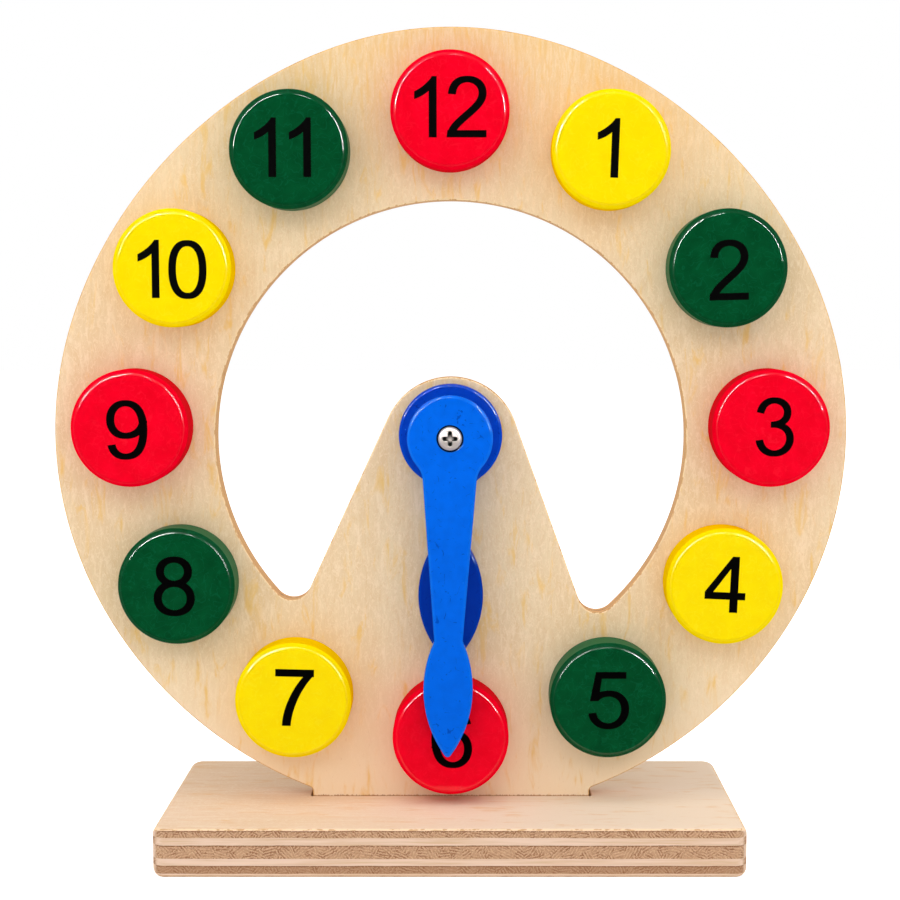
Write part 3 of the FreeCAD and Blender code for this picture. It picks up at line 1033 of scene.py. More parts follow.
@dataclass
class DialPlate:
    """Dial plate: an oval with a tenon below, a window about the pivot and a tongue within it."""

    crown_fullness: tuple[float, float] = (0.52, 0.528)         # left and right
    foot_fullness: float = 0.54
    foot_z: float = 9.2
    tenon_half_length: float = 44.395
    root_radius: float = 1.5
    tenon_corner_radius: float = 1.0
    window_radius: float = 74.4
    window_drop: float = 0.95
    pocket_radius: float = 6.2
    crown_radius: float = 21.7
    crown_drop: float = 3.6
    left_flare: float = 24.8
    right_flare: float = 19.8
    hole_radius: float = 3.05
    bore_radius: float = 2.1
    edge: Edge = Edge(0.6, 0.6)
    face_ply: float = 0.8
    core_half: float = 1.1              # mm, half the middle ply
    oval_steps: int = 110               # points along a quarter of the oval
    root_steps: int = 4001              # places along it where the root arc is tried
    joint_z: float = 15.0               # mm, top of the base, where the tenon is glued in
    discs: list[complex] = field(default_factory=list)

    def side(self, half_width: float, top: float, bottom: float,
             crown_fullness: float) -> list[Outline]:
        """Runs of the oval and tenon on the left, from the crown down to the foot.

        The oval is two cubic quarters.  A root arc joins it to the tenon: its centre lies one
        radius outside both, where the oval's offset curve crosses the line beside the tenon.

        Args:
            half_width: Half the oval's width.
            top: Height of the crown.
            bottom: Height of the tenon's foot.
            crown_fullness: Share of the upper quarter's sides that its handles take.

        Returns:
            The runs in order.
        """
        quarters = []
        for end_z, fullness in ((top, crown_fullness), (self.foot_z, self.foot_fullness)):
            rise = (end_z - PIVOT_Z) * fullness
            quarters.append((complex(0, end_z), complex(-half_width * fullness, end_z),
                             complex(-half_width, PIVOT_Z + rise),
                             complex(-half_width, PIVOT_Z)))
        crown, way = cubic(quarters[0], np.linspace(0, 1, self.oval_steps))
        crown = Outline(crown, -1j * way)
        fine, way = cubic(quarters[1][::-1], np.linspace(0, 1, self.root_steps))
        normals = -1j * way
        beside = (fine + self.root_radius * normals).real
        last = int(np.argmax(beside > -self.tenon_half_length - self.root_radius))
        picked = np.linspace(0, last, self.oval_steps).astype(int)
        centre = fine[last] + self.root_radius * normals[last]
        root = arc(centre, fine[last], centre + self.root_radius)
        corner = complex(-self.tenon_half_length, bottom) + self.tenon_corner_radius * (1 + 1j)
        return [crown, Outline(fine[picked], normals[picked]), root,
                straight(root.points[-1], corner - self.tenon_corner_radius),
                arc(corner, corner - self.tenon_corner_radius,
                    corner - 1j * self.tenon_corner_radius)]

    def outer(self, half_width: float, top: float, bottom: float) -> Outline:
        """Oval and tenon, the right side by mirroring.

        Args:
            half_width: Half the oval's width.
            top: Height of the crown.
            bottom: Height of the tenon's foot.

        Returns:
            The closed outline, anticlockwise from the crown.
        """
        left, right = [self.side(half_width, top, bottom, fullness)
                       for fullness in self.crown_fullness]
        right = [run.mirrored() for run in reversed(right)]
        foot = straight(left[-1].points[-1], right[0].points[0])
        return closed(*left, foot, *right)

    def flank(self, side: int) -> tuple[complex, complex, complex]:
        """One side of the window's foot, from the tongue's crown into the pocket.

        Args:
            side: -1 towards nine o'clock, 1 towards three.

        Returns:
            Where the flank leaves the crown, the pocket's centre, and where the flank meets it.
        """
        turn = math.radians(self.left_flare if side < 0 else self.right_flare)
        out = complex(side * math.cos(turn), math.sin(turn))
        down = complex(side * math.sin(turn), -math.cos(turn))
        start = complex(0, PIVOT_Z - self.crown_drop) + self.crown_radius * out
        first = start + self.pocket_radius * out - self.middle
        along = (first * down.conjugate()).real
        reach = self.window_radius - self.pocket_radius
        travel = -along + math.sqrt(along ** 2 - abs(first) ** 2 + reach ** 2)
        centre = first + travel * down + self.middle
        return start, centre, centre - self.pocket_radius * out

    @property
    def middle(self) -> complex:
        """The window's centre."""
        return 1j * (PIVOT_Z - self.window_drop)

    def window(self) -> Outline:
        """Window, walked clockwise from its top: round, down each pocket and over the tongue."""
        middle, crown = self.middle, 1j * (PIVOT_Z - self.crown_drop)
        top = middle + 1j * self.window_radius
        runs = []
        for side in (-1, 1):
            start, pocket, meets = self.flank(side)
            rim = middle + (pocket - middle) / abs(pocket - middle) * self.window_radius
            foot = pocket + self.pocket_radius * (meets - pocket + rim - pocket) / abs(
                meets + rim - 2 * pocket)
            runs.append([arc(middle, top, rim), arc(pocket, rim, foot), arc(pocket, foot, meets),
                         straight(meets, start),
                         arc(crown, start, crown + 1j * self.crown_radius)])
        left, right = runs
        return closed(*right, *[run.flipped() for run in reversed(left)])

    def build(self) -> None:
        """Builds the plate from the frame's box and puts it on the stand."""
        low, high = node_box("dial_plate")
        front, back = np.round(low[1], 1), np.round(high[1], 1)
        skin = Skin()
        outer = self.outer(high[0], high[2], low[2])
        bores = [(spot, self.hole_radius) for spot in self.discs]
        bores.append((1j * PIVOT_Z, self.bore_radius))
        skin.close([skin.wall(outer, front, back, self.edge, self.edge),
                    skin.wall(self.window(), front, back, self.edge, self.edge)]
                   + [skin.wall(circle(spot, radius, hole=True), front, back)
                      for spot, radius in bores], front, back)
        plies = (front, front + self.face_ply, -self.core_half, self.core_half,
                 back - self.face_ply, back)
        finish = Plywood("birch_plywood_dial", (2, 0, 1), plies, (0, 1, 0, 1, 0),
                         pale_edge="#E6B274", pale_streak="#DCA566", torn_edge="#D6A46E",
                         # rim: a painted highlight on the rounded edges round the window and the
                         # tongue
                         torn_light="#E6BE8A", torn_dark="#AC7843", rim="#FDE2B4",
                         far_rim="#E6B56C", cross_pale=0.7, rim_reach=100.0,
                         middle=PIVOT, amber_run=(215.0, 315.0),
                         # pale_run: painted light, lighter towards the foot of the plate
                         pale_run=(75.0, 15.0), glue_z=self.joint_z)
        place(skin.make("dial_plate_wood", finish.material()), "stand", "plywood_dial",
              "dial_plate")


# ---------------------------------------------------------------- numerals

class Mark(Enum):
    """How the pen makes a mark."""

    STROKE = "a path: its start, and then two handles and an end for each cubic curve"
    BETWEEN = "the ink between two rails, each of two ends, or a cubic curve's four places"
    RING = "a closed superellipse: its middle, its half sizes and its power"


# Figures in thousandths of their height: the width, and then the marks.  The 9 is a turned 6.
FIGURES = {
    "0": (658, (Mark.RING, 329 + 488j, 263 + 452j, 2350)),
    "1": (372, (Mark.BETWEEN, 240, 240 + 860j, 372, 372 + 860j),
          (Mark.BETWEEN, 240 + 850j, 293 + 1000j, 372 + 850j, 372 + 1000j),
          (Mark.BETWEEN, 752j, 104 + 800j, 235 + 900j, 293 + 1000j,
           625j, 90 + 655j, 180 + 700j, 250 + 770j)),
    "2": (660, (Mark.STROKE, 88 + 706j, 100 + 860j, 190 + 952j, 343 + 952j, 495 + 952j,
                596 + 855j, 596 + 725j, 596 + 580j, 460 + 475j, 310 + 345j, 190 + 240j,
                100 + 160j, 78 + 60j),
          (Mark.BETWEEN, 0, 660, 12 + 118j, 660 + 118j)),
    "3": (655, (Mark.STROKE, 74 + 736j, 100 + 870j, 190 + 953j, 314 + 953j, 445 + 953j,
                543 + 865j, 543 + 748j, 543 + 600j, 420 + 534j, 255 + 534j),
          (Mark.STROKE, 262 + 534j, 460 + 550j, 590 + 450j, 590 + 292j, 590 + 145j, 470 + 35j,
           319 + 35j, 180 + 35j, 80 + 130j, 61 + 268j)),
    "4": (692, (Mark.BETWEEN, 428, 428 + 800j, 567, 567 + 800j),
          (Mark.BETWEEN, 428 + 790j, 450 + 1000j, 567 + 790j, 567 + 1000j),
          (Mark.BETWEEN, 358j, 450 + 1000j, 140 + 354j, 428 + 780j),
          (Mark.BETWEEN, 230j, 692 + 230j, 358j, 692 + 358j)),
    "5": (663, (Mark.STROKE, 64 + 267j, 80 + 120j, 190 + 34j, 321 + 34j, 480 + 34j, 598 + 160j,
                598 + 333j, 598 + 500j, 490 + 608j, 335 + 608j, 250 + 608j, 175 + 585j,
                115 + 520j),
          (Mark.BETWEEN, 22 + 473j, 119 + 986j, 161 + 477j, 217 + 868j),
          (Mark.BETWEEN, 98 + 868j, 616 + 868j, 119 + 986j, 616 + 986j)),
    "6": (660, (Mark.STROKE, 582 + 750j, 560 + 885j, 470 + 953j, 355 + 953j, 160 + 953j,
                63 + 790j, 63 + 485j, 63 + 190j, 170 + 34j, 346 + 34j),
          (Mark.STROKE, 346 + 34j, 500 + 34j, 597 + 155j, 597 + 320j, 597 + 485j, 500 + 595j,
           353 + 595j, 200 + 595j, 75 + 500j, 63 + 330j)),
    "7": (667, (Mark.BETWEEN, 859j, 667 + 859j, 987j, 667 + 987j),
          (Mark.BETWEEN, 488 + 870j, 340 + 700j, 140 + 360j, 126,
           667 + 890j, 492 + 710j, 300 + 360j, 277)),
    "8": (659, (Mark.RING, 329 + 746j, 225 + 207j, 2100),
          (Mark.RING, 329 + 286j, 265 + 252j, 2100)),
}


@dataclass(frozen=True)
class Pen:
    """Broad pen for the numerals, in shares of their height.

    A stroke is as wide as its level width, plus the steepness of its path times what an upright
    stroke has more.
    """

    level: float = 0.105
    upright: float = 0.132
    count: int = 14
    widening: dict[str, float] = field(default_factory=lambda: {
        "4": 1.04, "5": 1.06, "6": 1.06, "8": 1.06, "9": 1.06})

    def stroke(self, *controls: complex) -> list[Array]:
        """Outlines of a stroke along a chain of cubic curves.

        Args:
            *controls: Start, and then two handles and an end for each curve.

        Returns:
            One closed outline for each curve: its path moved half a width to each side.
        """
        ribbons = []
        for k in range(0, len(controls) - 1, 3):
            path, way = cubic(controls[k:k + 4], np.linspace(0, 1, self.count))
            half = (self.level + (self.upright - self.level) * abs(way.imag)) / 2
            ribbons.append(np.concatenate([path + 1j * way * half,
                                           (path - 1j * way * half)[::-1]]))
        return ribbons

    def ring(self, centre: complex, halves: complex, power: complex) -> list[Array]:
        """Outlines of a closed superellipse stroke.

        Args:
            centre: Its middle.
            halves: Half its width, plus half its height times i.
            power: Its power, where 2 is an ellipse.

        Returns:
            The outlines of its upper and its lower half.
        """
        half_x, half_z, power = halves.real, halves.imag, power.real
        ribbons = []
        for half_turn in (0, np.pi):
            turn = np.linspace(0, np.pi, 2 * self.count) + half_turn
            east, north = np.cos(turn), np.sin(turn)
            path = (centre + half_x * np.sign(east) * abs(east) ** (2 / power)
                    + 1j * half_z * np.sign(north) * abs(north) ** (2 / power))
            out = (np.sign(east) * abs(east) ** (2 - 2 / power) / half_x
                   + 1j * np.sign(north) * abs(north) ** (2 - 2 / power) / half_z)
            out /= abs(out)
            half = (self.level + (self.upright - self.level) * abs(out.real)) / 2
            ribbons.append(np.concatenate([path + out * half, (path - out * half)[::-1]]))
        return ribbons

    def between(self, *rails: complex) -> list[Array]:
        """Outline of the ink between two rails.

        Args:
            *rails: Two ends, or the four places of a cubic curve, for one rail and then for
                the other.

        Returns:
            The one closed outline.
        """
        half = len(rails) // 2
        sides = [np.array(rail) if half == 2 else cubic(rail, np.linspace(0, 1, self.count))[0]
                 for rail in (rails[:half], rails[half:])]
        return [np.concatenate([sides[0], sides[1][::-1]])]

    def figure(self, figure: str) -> tuple[float, list[Array]]:
        """A figure after its widening.

        Args:
            figure: The figure.

        Returns:
            Its width, and the outlines of its strokes.
        """
        wide = self.widening.get(figure, 1.0)
        width, ribbons = self.digit(figure)
        return width * wide, [ribbon.real * wide + 1j * ribbon.imag for ribbon in ribbons]

    def digit(self, figure: str) -> tuple[float, list[Array]]:
        """A figure with its foot at z = 0 and its height one.

        Args:
            figure: The figure.

        Returns:
            Its width, and the outlines of its strokes.
        """
        if figure == "9":
            width, ribbons = self.digit("6")
            return width, [width + 0.987j - ribbon for ribbon in ribbons]
        width, *marks = FIGURES[figure]
        tools = {Mark.STROKE: self.stroke, Mark.BETWEEN: self.between, Mark.RING: self.ring}
        ribbons = []
        for mark, *places in marks:
            shares = [complex(place.real / 1000, place.imag / 1000) for place in places]
            ribbons += tools[mark](*shares)
        return width / 1000, ribbons


@dataclass
class Numeral:
    """Printed number: the union of its pen strokes as a thin film of ink on a disc's face."""

    text: str
    centre: complex                     # mm, middle of the number's own box
    face_y: float                       # mm, the disc's face
    tilt: float                         # degrees, clockwise
    height: float                       # mm
    gap: float                          # share of the height between two figures
    film: float = 0.04                  # mm
    meet: float = 1e-5                  # mm within which the strokes' corners are one
    pen: Pen = field(default_factory=Pen)

    def outlines(self) -> list[Array]:
        """Outlines of the strokes where they lie on the disc, in millimetres."""
        ribbons, pen_x = [], 0.0
        for figure in self.text:
            width, strokes = self.pen.figure(figure)
            ribbons += [stroke + pen_x for stroke in strokes]
            pen_x += width + self.gap
        extent = np.concatenate(ribbons)
        middle = complex(extent.real.min() + extent.real.max(),
                         extent.imag.min() + extent.imag.max()) / 2
        turn = np.exp(-1j * math.radians(self.tilt)) * self.height
        twice_areas = [(ribbon.conj() * np.roll(ribbon, -1)).imag.sum() for ribbon in ribbons]
        return [(ribbon[::1 if area > 0 else -1] - middle) * turn + self.centre
                for ribbon, area in zip(ribbons, twice_areas)]

    def build(self, name: str, body: str, material: bpy.types.Material) -> None:
        """Joins the strokes in the plane, gives the film its thickness and adds the piece.

        Args:
            name: Name of the piece.
            body: Body that it rides on.
            material: The ink.
        """
        ribbons = self.outlines()
        flat = np.concatenate(ribbons)
        ends = np.cumsum([0] + [len(ribbon) for ribbon in ribbons])
        faces = [list(range(a, b)) for a, b in zip(ends[:-1], ends[1:])]
        # mode 1 triangulates the inside only, and each triangle tells which strokes cover it
        corners, _, found, _, _, sources = delaunay_2d_cdt(
            [Vector((p.real, p.imag)) for p in flat], [], faces, 1, self.meet, True)
        spots = np.array([complex(*corner) for corner in corners])
        triangles = np.array([face for face, source in zip(found, sources) if source])
        skin = Skin()
        skin.face(spots[triangles], self.face_y - self.film, -1)
        skin.face(spots[triangles], self.face_y, 1)
        pairs = triangles[:, [0, 1, 1, 2, 2, 0]].reshape(-1, 2)
        _, index, counts = np.unique(np.sort(pairs, axis=1), axis=0, return_index=True,
                                     return_counts=True)
        rim = spots[pairs[index[counts == 1]]]
        out = -1j * (rim[:, 1] - rim[:, 0]) / abs(rim[:, 1] - rim[:, 0])
        way = spots[triangles].mean(1)[index[counts == 1] // 3] - rim[:, 0]
        out *= np.where((out * way.conj()).real > 0, -1, 1)
        strip = skin.lift(rim[:, :, None], np.array([self.face_y - self.film, self.face_y]))
        skin.quads([strip[:, 0, 0], strip[:, 1, 0], strip[:, 1, 1], strip[:, 0, 1]],
                   [skin.lift(out, 0.0)] * 4)
        place(skin.make(name, material), body)


# ---------------------------------------------------------------- discs and pegs

@dataclass
class NumberDisc:
    """Turned disc with a bevelled front rim, a blind bore behind, its numeral and its peg."""

    number: int
    tilt: float                         # degrees clockwise, of the numeral
    shift: complex                      # mm, the numeral's middle from the disc's middle
    height: float                       # mm, of the numeral
    gap: float = 0.17                   # share of the numeral's height between two figures
    front_edge: Edge = Edge(1.85, 1.75, 1.34, 19)
    back_edge: Edge = Edge(0.5, 0.5, count=4)
    bore_radius: float = 3.05
    bore_depth: float = 8.0
    peg_radius: float = 3.0
    peg_edge: Edge = Edge(0.5, 0.5, 1.2, 5)

    @property
    def tone(self) -> Tone:
        """Its lacquer, which every third disc shares."""
        return list(Tone)[self.number % len(Tone)]

    @property
    def middle(self) -> complex:
        """The disc's axis in the dial's plane, from the frame."""
        low, high = node_box(f"disc_peg_{self.number:02d}")
        return complex(low[0] + high[0], low[2] + high[2]) / 2

    def build(self, lacquer: bpy.types.Material, dowel: bpy.types.Material,
              ink: bpy.types.Material) -> None:
        """Builds the disc, its numeral and its peg.

        Args:
            lacquer: The disc's lacquer.
            dowel: The peg's wood.
            ink: The numeral's ink.
        """
        label, middle = f"{self.number:02d}", self.middle
        low, high = node_box(f"number_disc_{label}")
        front, back, radius = low[1], high[1], (high[0] - low[0]) / 2
        skin = Skin()
        face, rear = skin.wall(circle(middle, radius), front, back, self.front_edge,
                               self.back_edge)
        floor = back - self.bore_depth
        floor_ring, mouth = skin.wall(circle(middle, self.bore_radius, hole=True), floor, back)
        skin.cap([face], front, -1)
        skin.cap([rear, mouth], back, 1)
        skin.cap([floor_ring], floor, 1)
        place(skin.make(f"disc_{label}_turned", lacquer), f"disc_{label}", self.tone.slot,
              f"number_disc_{label}")
        numeral = Numeral(str(self.number), middle + self.shift, front, self.tilt, self.height,
                          self.gap)
        numeral.build(f"numeral_{label}", f"disc_{label}", ink)
        low, high = node_box(f"disc_peg_{label}")
        peg = turned(middle, low[1], high[1], self.peg_radius, front_edge=self.peg_edge)
        place(peg.make(f"peg_{label}_dowel", dowel), f"peg_{label}", "dowel",
              f"disc_peg_{label}")


# ---------------------------------------------------------------- hands and pivot

@dataclass
class Hand:
    """Hand of one thickness: a round hub, a tapered blade and a leaf between two arcs."""

    node: str
    hub_radius: float
    blade_root: float                   # mm, half the blade's width at the pivot
    blade_tip: float                    # mm, half its width where it runs into the leaf
    leaf_half_width: float
    leaf_half_length: float
    reach: float                        # mm, pivot to the leaf's sharp end before its rounding
    neck_round: float = 8.0
    waist_round: float = 2.5
    tip_round: float = 1.2
    bore_radius: float = 2.05
    well_radius: float = 0.0
    well_depth: float = 0.0
    lean: float = 0.0                   # degrees past six o'clock
    edge: Edge = Edge(0.95, 0.9, 1.6, 11)
    well_edge: Edge = Edge(0.25, 0.25, count=5)

    def half_outline(self) -> list[Outline]:
        """The side towards three o'clock, from the tip up to the top of the hub.

        With the pivot at the origin, each fillet's centre lies one radius beside the blade's
        line and one radius outside the hub's or the leaf's circle.

        Returns:
            Its runs in order.
        """
        centre = self.reach - self.leaf_half_length
        width, length = self.leaf_half_width, self.leaf_half_length
        leaf_radius = (length ** 2 + width ** 2) / (2 * width)
        leaf = complex(width - leaf_radius, -centre)
        tip = 1j * (leaf.imag - math.sqrt((leaf_radius - self.tip_round) ** 2
                                          - leaf.real ** 2))
        joint = centre - length / 2
        way = complex(self.blade_tip - self.blade_root, -joint)
        way /= abs(way)
        out = 1j * way

        def fillet(radius: float, round_middle: complex, round_radius: float,
                   first: bool) -> tuple[complex, complex, complex]:
            """Rounds the corner between the blade's line and a circle.

            Args:
                radius: The fillet's radius.
                round_middle: The circle's middle.
                round_radius: The circle's radius.
                first: Whether it is the first meeting along the line, from the hub outwards.

            Returns:
                The fillet's centre, and where it touches the line and the circle.
            """
            start = self.blade_root + radius * out - round_middle
            along = (start * way.conjugate()).real
            reach = radius + round_radius
            root = math.sqrt(along ** 2 - abs(start) ** 2 + reach ** 2)
            middle = start + (-along - root if first else -along + root) * way
            touch = round_middle + middle / abs(middle) * round_radius
            return middle + round_middle, middle + round_middle - radius * out, touch

        neck, neck_line, neck_hub = fillet(self.neck_round, 0j, self.hub_radius, False)
        waist, waist_line, waist_leaf = fillet(self.waist_round, leaf, leaf_radius, True)
        touch = leaf + (tip - leaf) / abs(tip - leaf) * leaf_radius
        return [arc(tip, tip - 1j * self.tip_round, touch), arc(leaf, touch, waist_leaf),
                arc(waist, waist_leaf, waist_line), straight(waist_line, neck_line),
                arc(neck, neck_line, neck_hub), arc(0j, neck_hub, 1j * self.hub_radius)]

    def outline(self) -> Outline:
        """Whole outline, leaned about the pivot and set at its height."""
        right = self.half_outline()
        whole = closed(*right, *[run.mirrored() for run in reversed(right)])
        turn = np.exp(-1j * math.radians(self.lean))
        return Outline(whole.points * turn + 1j * PIVOT_Z, whole.normals * turn)

    def build(self, finish: SatinPaint, slot: str) -> None:
        """Builds the hand from the frame's layers.

        Args:
            finish: Its paint.
            slot: The record's material slot.
        """
        low, high = node_box(self.node)
        front, back = np.round(low[1], 1), np.round(high[1], 1)
        skin = Skin()
        face, rear = skin.wall(self.outline(), front, back, self.edge, self.edge)
        floor = front + self.well_depth
        rings = skin.wall(circle(1j * PIVOT_Z, self.bore_radius, hole=True), floor, back)
        if self.well_radius:
            well = circle(1j * PIVOT_Z, self.well_radius, hole=True)
            lip, foot = skin.wall(well, front, floor, self.well_edge)
            skin.cap([face, lip], front, -1)
            skin.cap([foot, rings[0]], floor, -1)
        else:
            skin.cap([face, rings[0]], front, -1)
        skin.cap([rear, rings[1]], back, 1)
        place(skin.make(f"{self.node}_painted", finish.material()), self.node, slot, self.node)


@dataclass
class PivotStack:
    """Screw with a cross recess, its washers, the wooden spacer and the lock nut."""

    pivot: complex = 1j * PIVOT_Z
    head_radius: float = 3.65
    head_height: float = 2.4
    dome: float = 0.45                  # mm, rise of the head's middle over its shoulder
    shoulder: float = 1.3               # mm, rounding of the head's rim
    recess_reach: float = 2.4           # mm, length of each wing of the cross
    recess_half_width: float = 0.74
    recess_depth: float = 1.5
    recess_rise: float = 0.5            # share of that depth lost at a wing's end
    recess_taper: float = 0.32          # mm over which a wing's wall falls
    shank_radius: float = 2.0
    thread_turns: int = 8
    thread_pitch: float = 0.7
    thread_depth: float = 0.3
    tip_chamfer: float = 0.5
    nut_half_flats: float = 3.5
    nut_hex_height: float = 3.2
    nut_chamfer: float = 0.45
    collar_inset: float = 0.4
    insert_radius: float = 2.75         # mm, of the recess that holds the nylon ring
    insert_depth: float = 0.5
    insert_gap: float = 0.02
    insert_sunk: float = 0.15           # mm from the collar's rim down to the ring
    bore_radius: float = 2.1
    washer_edge: Edge = Edge(0.3, 0.3, count=5)
    collar_edge: Edge = Edge(0.5, 0.5, count=6)
    ring_edge: Edge = Edge(0.15, 0.15, count=4)
    dome_rings: int = 40
    shoulder_rings: int = 12
    thread_rings: int = 81
    screw_points: int = 192             # points round the screw
    nut_points: int = 144               # points round the nut
    nut_shade: float = 1e-9             # radians

    def bush(self, name: str, node: str, radius: float, slot: str,
             material: bpy.types.Material) -> None:
        """Builds a washer or the spacer as a turned ring.

        Args:
            name: Name of the piece.
            node: CAD node that it stands for.
            radius: Its outer radius.
            slot: The record's material slot.
            material: Its material.
        """
        low, high = node_box(node)
        skin = turned(self.pivot, low[1], high[1], radius, self.bore_radius, self.washer_edge,
                      self.washer_edge)
        place(skin.make(name, material), "stand", slot, node)

    def head_top(self, radii: Array, turns: Array, top: float) -> Array:
        """Depth of the head's top: a shallow dome, rounded at its rim, less the cross recess.

        A wing of the cross is a slot with a round end, shallower the farther out it is, and its
        wall falls over the taper.

        Args:
            radii: Distance from the axis.
            turns: Angle round it.
            top: Depth of the dome's middle.

        Returns:
            Depth at each place.
        """
        flat = self.head_radius - self.shoulder
        beyond = np.clip(radii - flat, 0, self.shoulder)
        depth = top + self.dome * (np.minimum(radii, flat) / flat) ** 2
        depth = depth + self.shoulder - np.sqrt(self.shoulder ** 2 - beyond ** 2)
        east, north = np.abs(radii * np.cos(turns)), np.abs(radii * np.sin(turns))
        along, beside = np.maximum(east, north), np.minimum(east, north)
        past = np.clip(along - self.recess_reach + self.recess_half_width, 0, None)
        off = np.hypot(beside, past)
        fall = np.clip((self.recess_half_width - off) / self.recess_taper, 0, 1)
        return depth + fall * self.recess_depth * (
            1 - self.recess_rise * along / self.recess_reach)

    def screw(self, material: bpy.types.Material) -> None:
        """Builds the screw: its head over polar places, and its shank with a helical thread.

        Args:
            material: Plated steel.
        """
        low, high = node_box("pivot_screw")
        flat = self.head_radius - self.shoulder
        lean = np.linspace(0.1, np.pi / 2, self.shoulder_rings)
        radii = np.concatenate([np.linspace(0, flat, self.dome_rings),
                                flat + self.shoulder * np.sin(lean)])[None]
        turns = around(self.screw_points)
        arm = np.exp(1j * turns)
        skin = Skin()
        top = skin.lift(self.pivot + radii * arm, self.head_top(radii, turns, low[1]))
        skin.surface(top, np.array([0.0, -1.0, 0.0]))
        seat = low[1] + self.head_height
        rim = self.head_top(np.array([[self.head_radius]]), np.zeros((1, 1)), low[1])[0, 0]
        side = skin.wall(Outline(self.pivot + self.head_radius * arm[:, 0], arm[:, 0]), rim,
                         seat)
        shank = Outline(self.pivot + self.shank_radius * arm[:, 0], arm[:, 0])
        skin.cap([side[1], shank.points], seat, 1)
        thread_start = high[1] - self.thread_turns * self.thread_pitch
        skin.wall(shank, seat, thread_start)
        steps = np.linspace(thread_start, high[1], self.thread_rings)[None]
        phase = (steps / self.thread_pitch - turns / (2 * np.pi)) % 1
        fade = np.clip((steps - thread_start) / self.thread_pitch, 0, 1)
        point = np.clip(steps - high[1] + self.tip_chamfer, 0, None)
        radius = self.shank_radius - point - self.thread_depth * fade * (
            1 - np.abs(2 * phase - 1)) * (point < self.tip_chamfer)
        thread = skin.lift(self.pivot + radius * arm, np.broadcast_to(steps, radius.shape))
        skin.surface(thread, skin.lift(arm, 0.0))
        skin.cap([self.pivot + radius[:, -1] * arm[:, 0]], high[1], 1)
        place(skin.make("pivot_screw_plated", material), "stand", "plated_steel", "pivot_screw")

    def nut(self, steel: bpy.types.Material, nylon: bpy.types.Material) -> None:
        """Builds the lock nut: a chamfered hexagon with a collar that grips a nylon ring.

        At an angle a the hexagon's radius is half its flats over the cosine of a's distance from
        the middle of a flat, and the chamfer trims it to a cone.

        Args:
            steel: Plated steel.
            nylon: The ring's nylon.
        """
        low, high = node_box("lock_nut")
        hex_back, end = low[1] + self.nut_hex_height, high[1]
        nest = end - self.insert_depth
        turns = around(self.nut_points)
        sixth = np.pi / 3
        from_flat = (turns + sixth / 2) % sixth - sixth / 2
        hexagon = self.nut_half_flats / np.cos(from_flat)
        corner = self.nut_half_flats / math.cos(sixth / 2)
        trims = corner - self.nut_chamfer * np.array([[1, 0, 0, 1]])
        depths = np.array([[low[1], low[1] + self.nut_chamfer / 2,
                            hex_back - self.nut_chamfer / 2, hex_back]])
        arm = np.exp(1j * turns)
        radii = np.minimum(hexagon, trims)
        skin = Skin()
        points = skin.lift(self.pivot + radii * arm, np.broadcast_to(depths, radii.shape))
        # a corner's points are a shade short of it, so that they go with the flat before it
        facet = np.exp(1j * (np.round((turns - self.nut_shade) / sixth) * sixth))
        skin.grid(points, skin.lift(np.broadcast_to(facet, radii.shape), 0.0))
        collar_radius = self.nut_half_flats - self.collar_inset
        collar = skin.wall(circle(self.pivot, collar_radius), hex_back, end,
                           back_edge=self.collar_edge)
        mouth = skin.wall(circle(self.pivot, self.insert_radius, hole=True), nest, end)
        bore = skin.wall(circle(self.pivot, self.bore_radius, hole=True), low[1], nest)
        skin.cap([self.pivot + radii[:, 0] * arm[:, 0], bore[0]], low[1], -1)
        skin.cap([self.pivot + radii[:, -1] * arm[:, 0], collar[0]], hex_back, 1)
        skin.cap([collar[1], mouth[1]], end, 1)
        skin.cap([mouth[0], bore[1]], nest, 1)
        place(skin.make("lock_nut_plated", steel), "stand", "plated_steel", "lock_nut")
        ring = turned(self.pivot, nest + self.insert_gap, end - self.insert_sunk,
                      self.insert_radius - self.insert_gap, self.bore_radius + self.insert_gap,
                      back_edge=self.ring_edge)
        place(ring.make("lock_nut_ring", nylon), "stand")

    def build(self, dowel: bpy.types.Material) -> None:
        """Builds the whole stack.

        Args:
            dowel: The spacer's wood.
        """
        head_y = float(node_box("pivot_screw")[0][1])
        steel = NickelPlate(head_y=head_y).material()
        dull = NickelPlate("dull_nickel_plated_steel", "#A9A59F", 0.3, metallic=0.95,
                           recess_radius=0.0).material()
        for name, node, radius, slot, material in (
                ("front_washer_plated", "front_washer", 6.0, "plated_steel", dull),
                ("spacer_dowel", "hand_spacer", 5.5, "dowel", dowel),
                ("back_washer_plated", "back_washer", 4.5, "plated_steel", dull)):
            self.bush(name, node, radius, slot, material)
        self.screw(steel)
        self.nut(dull, Nylon().material())


# ---------------------------------------------------------------- studio

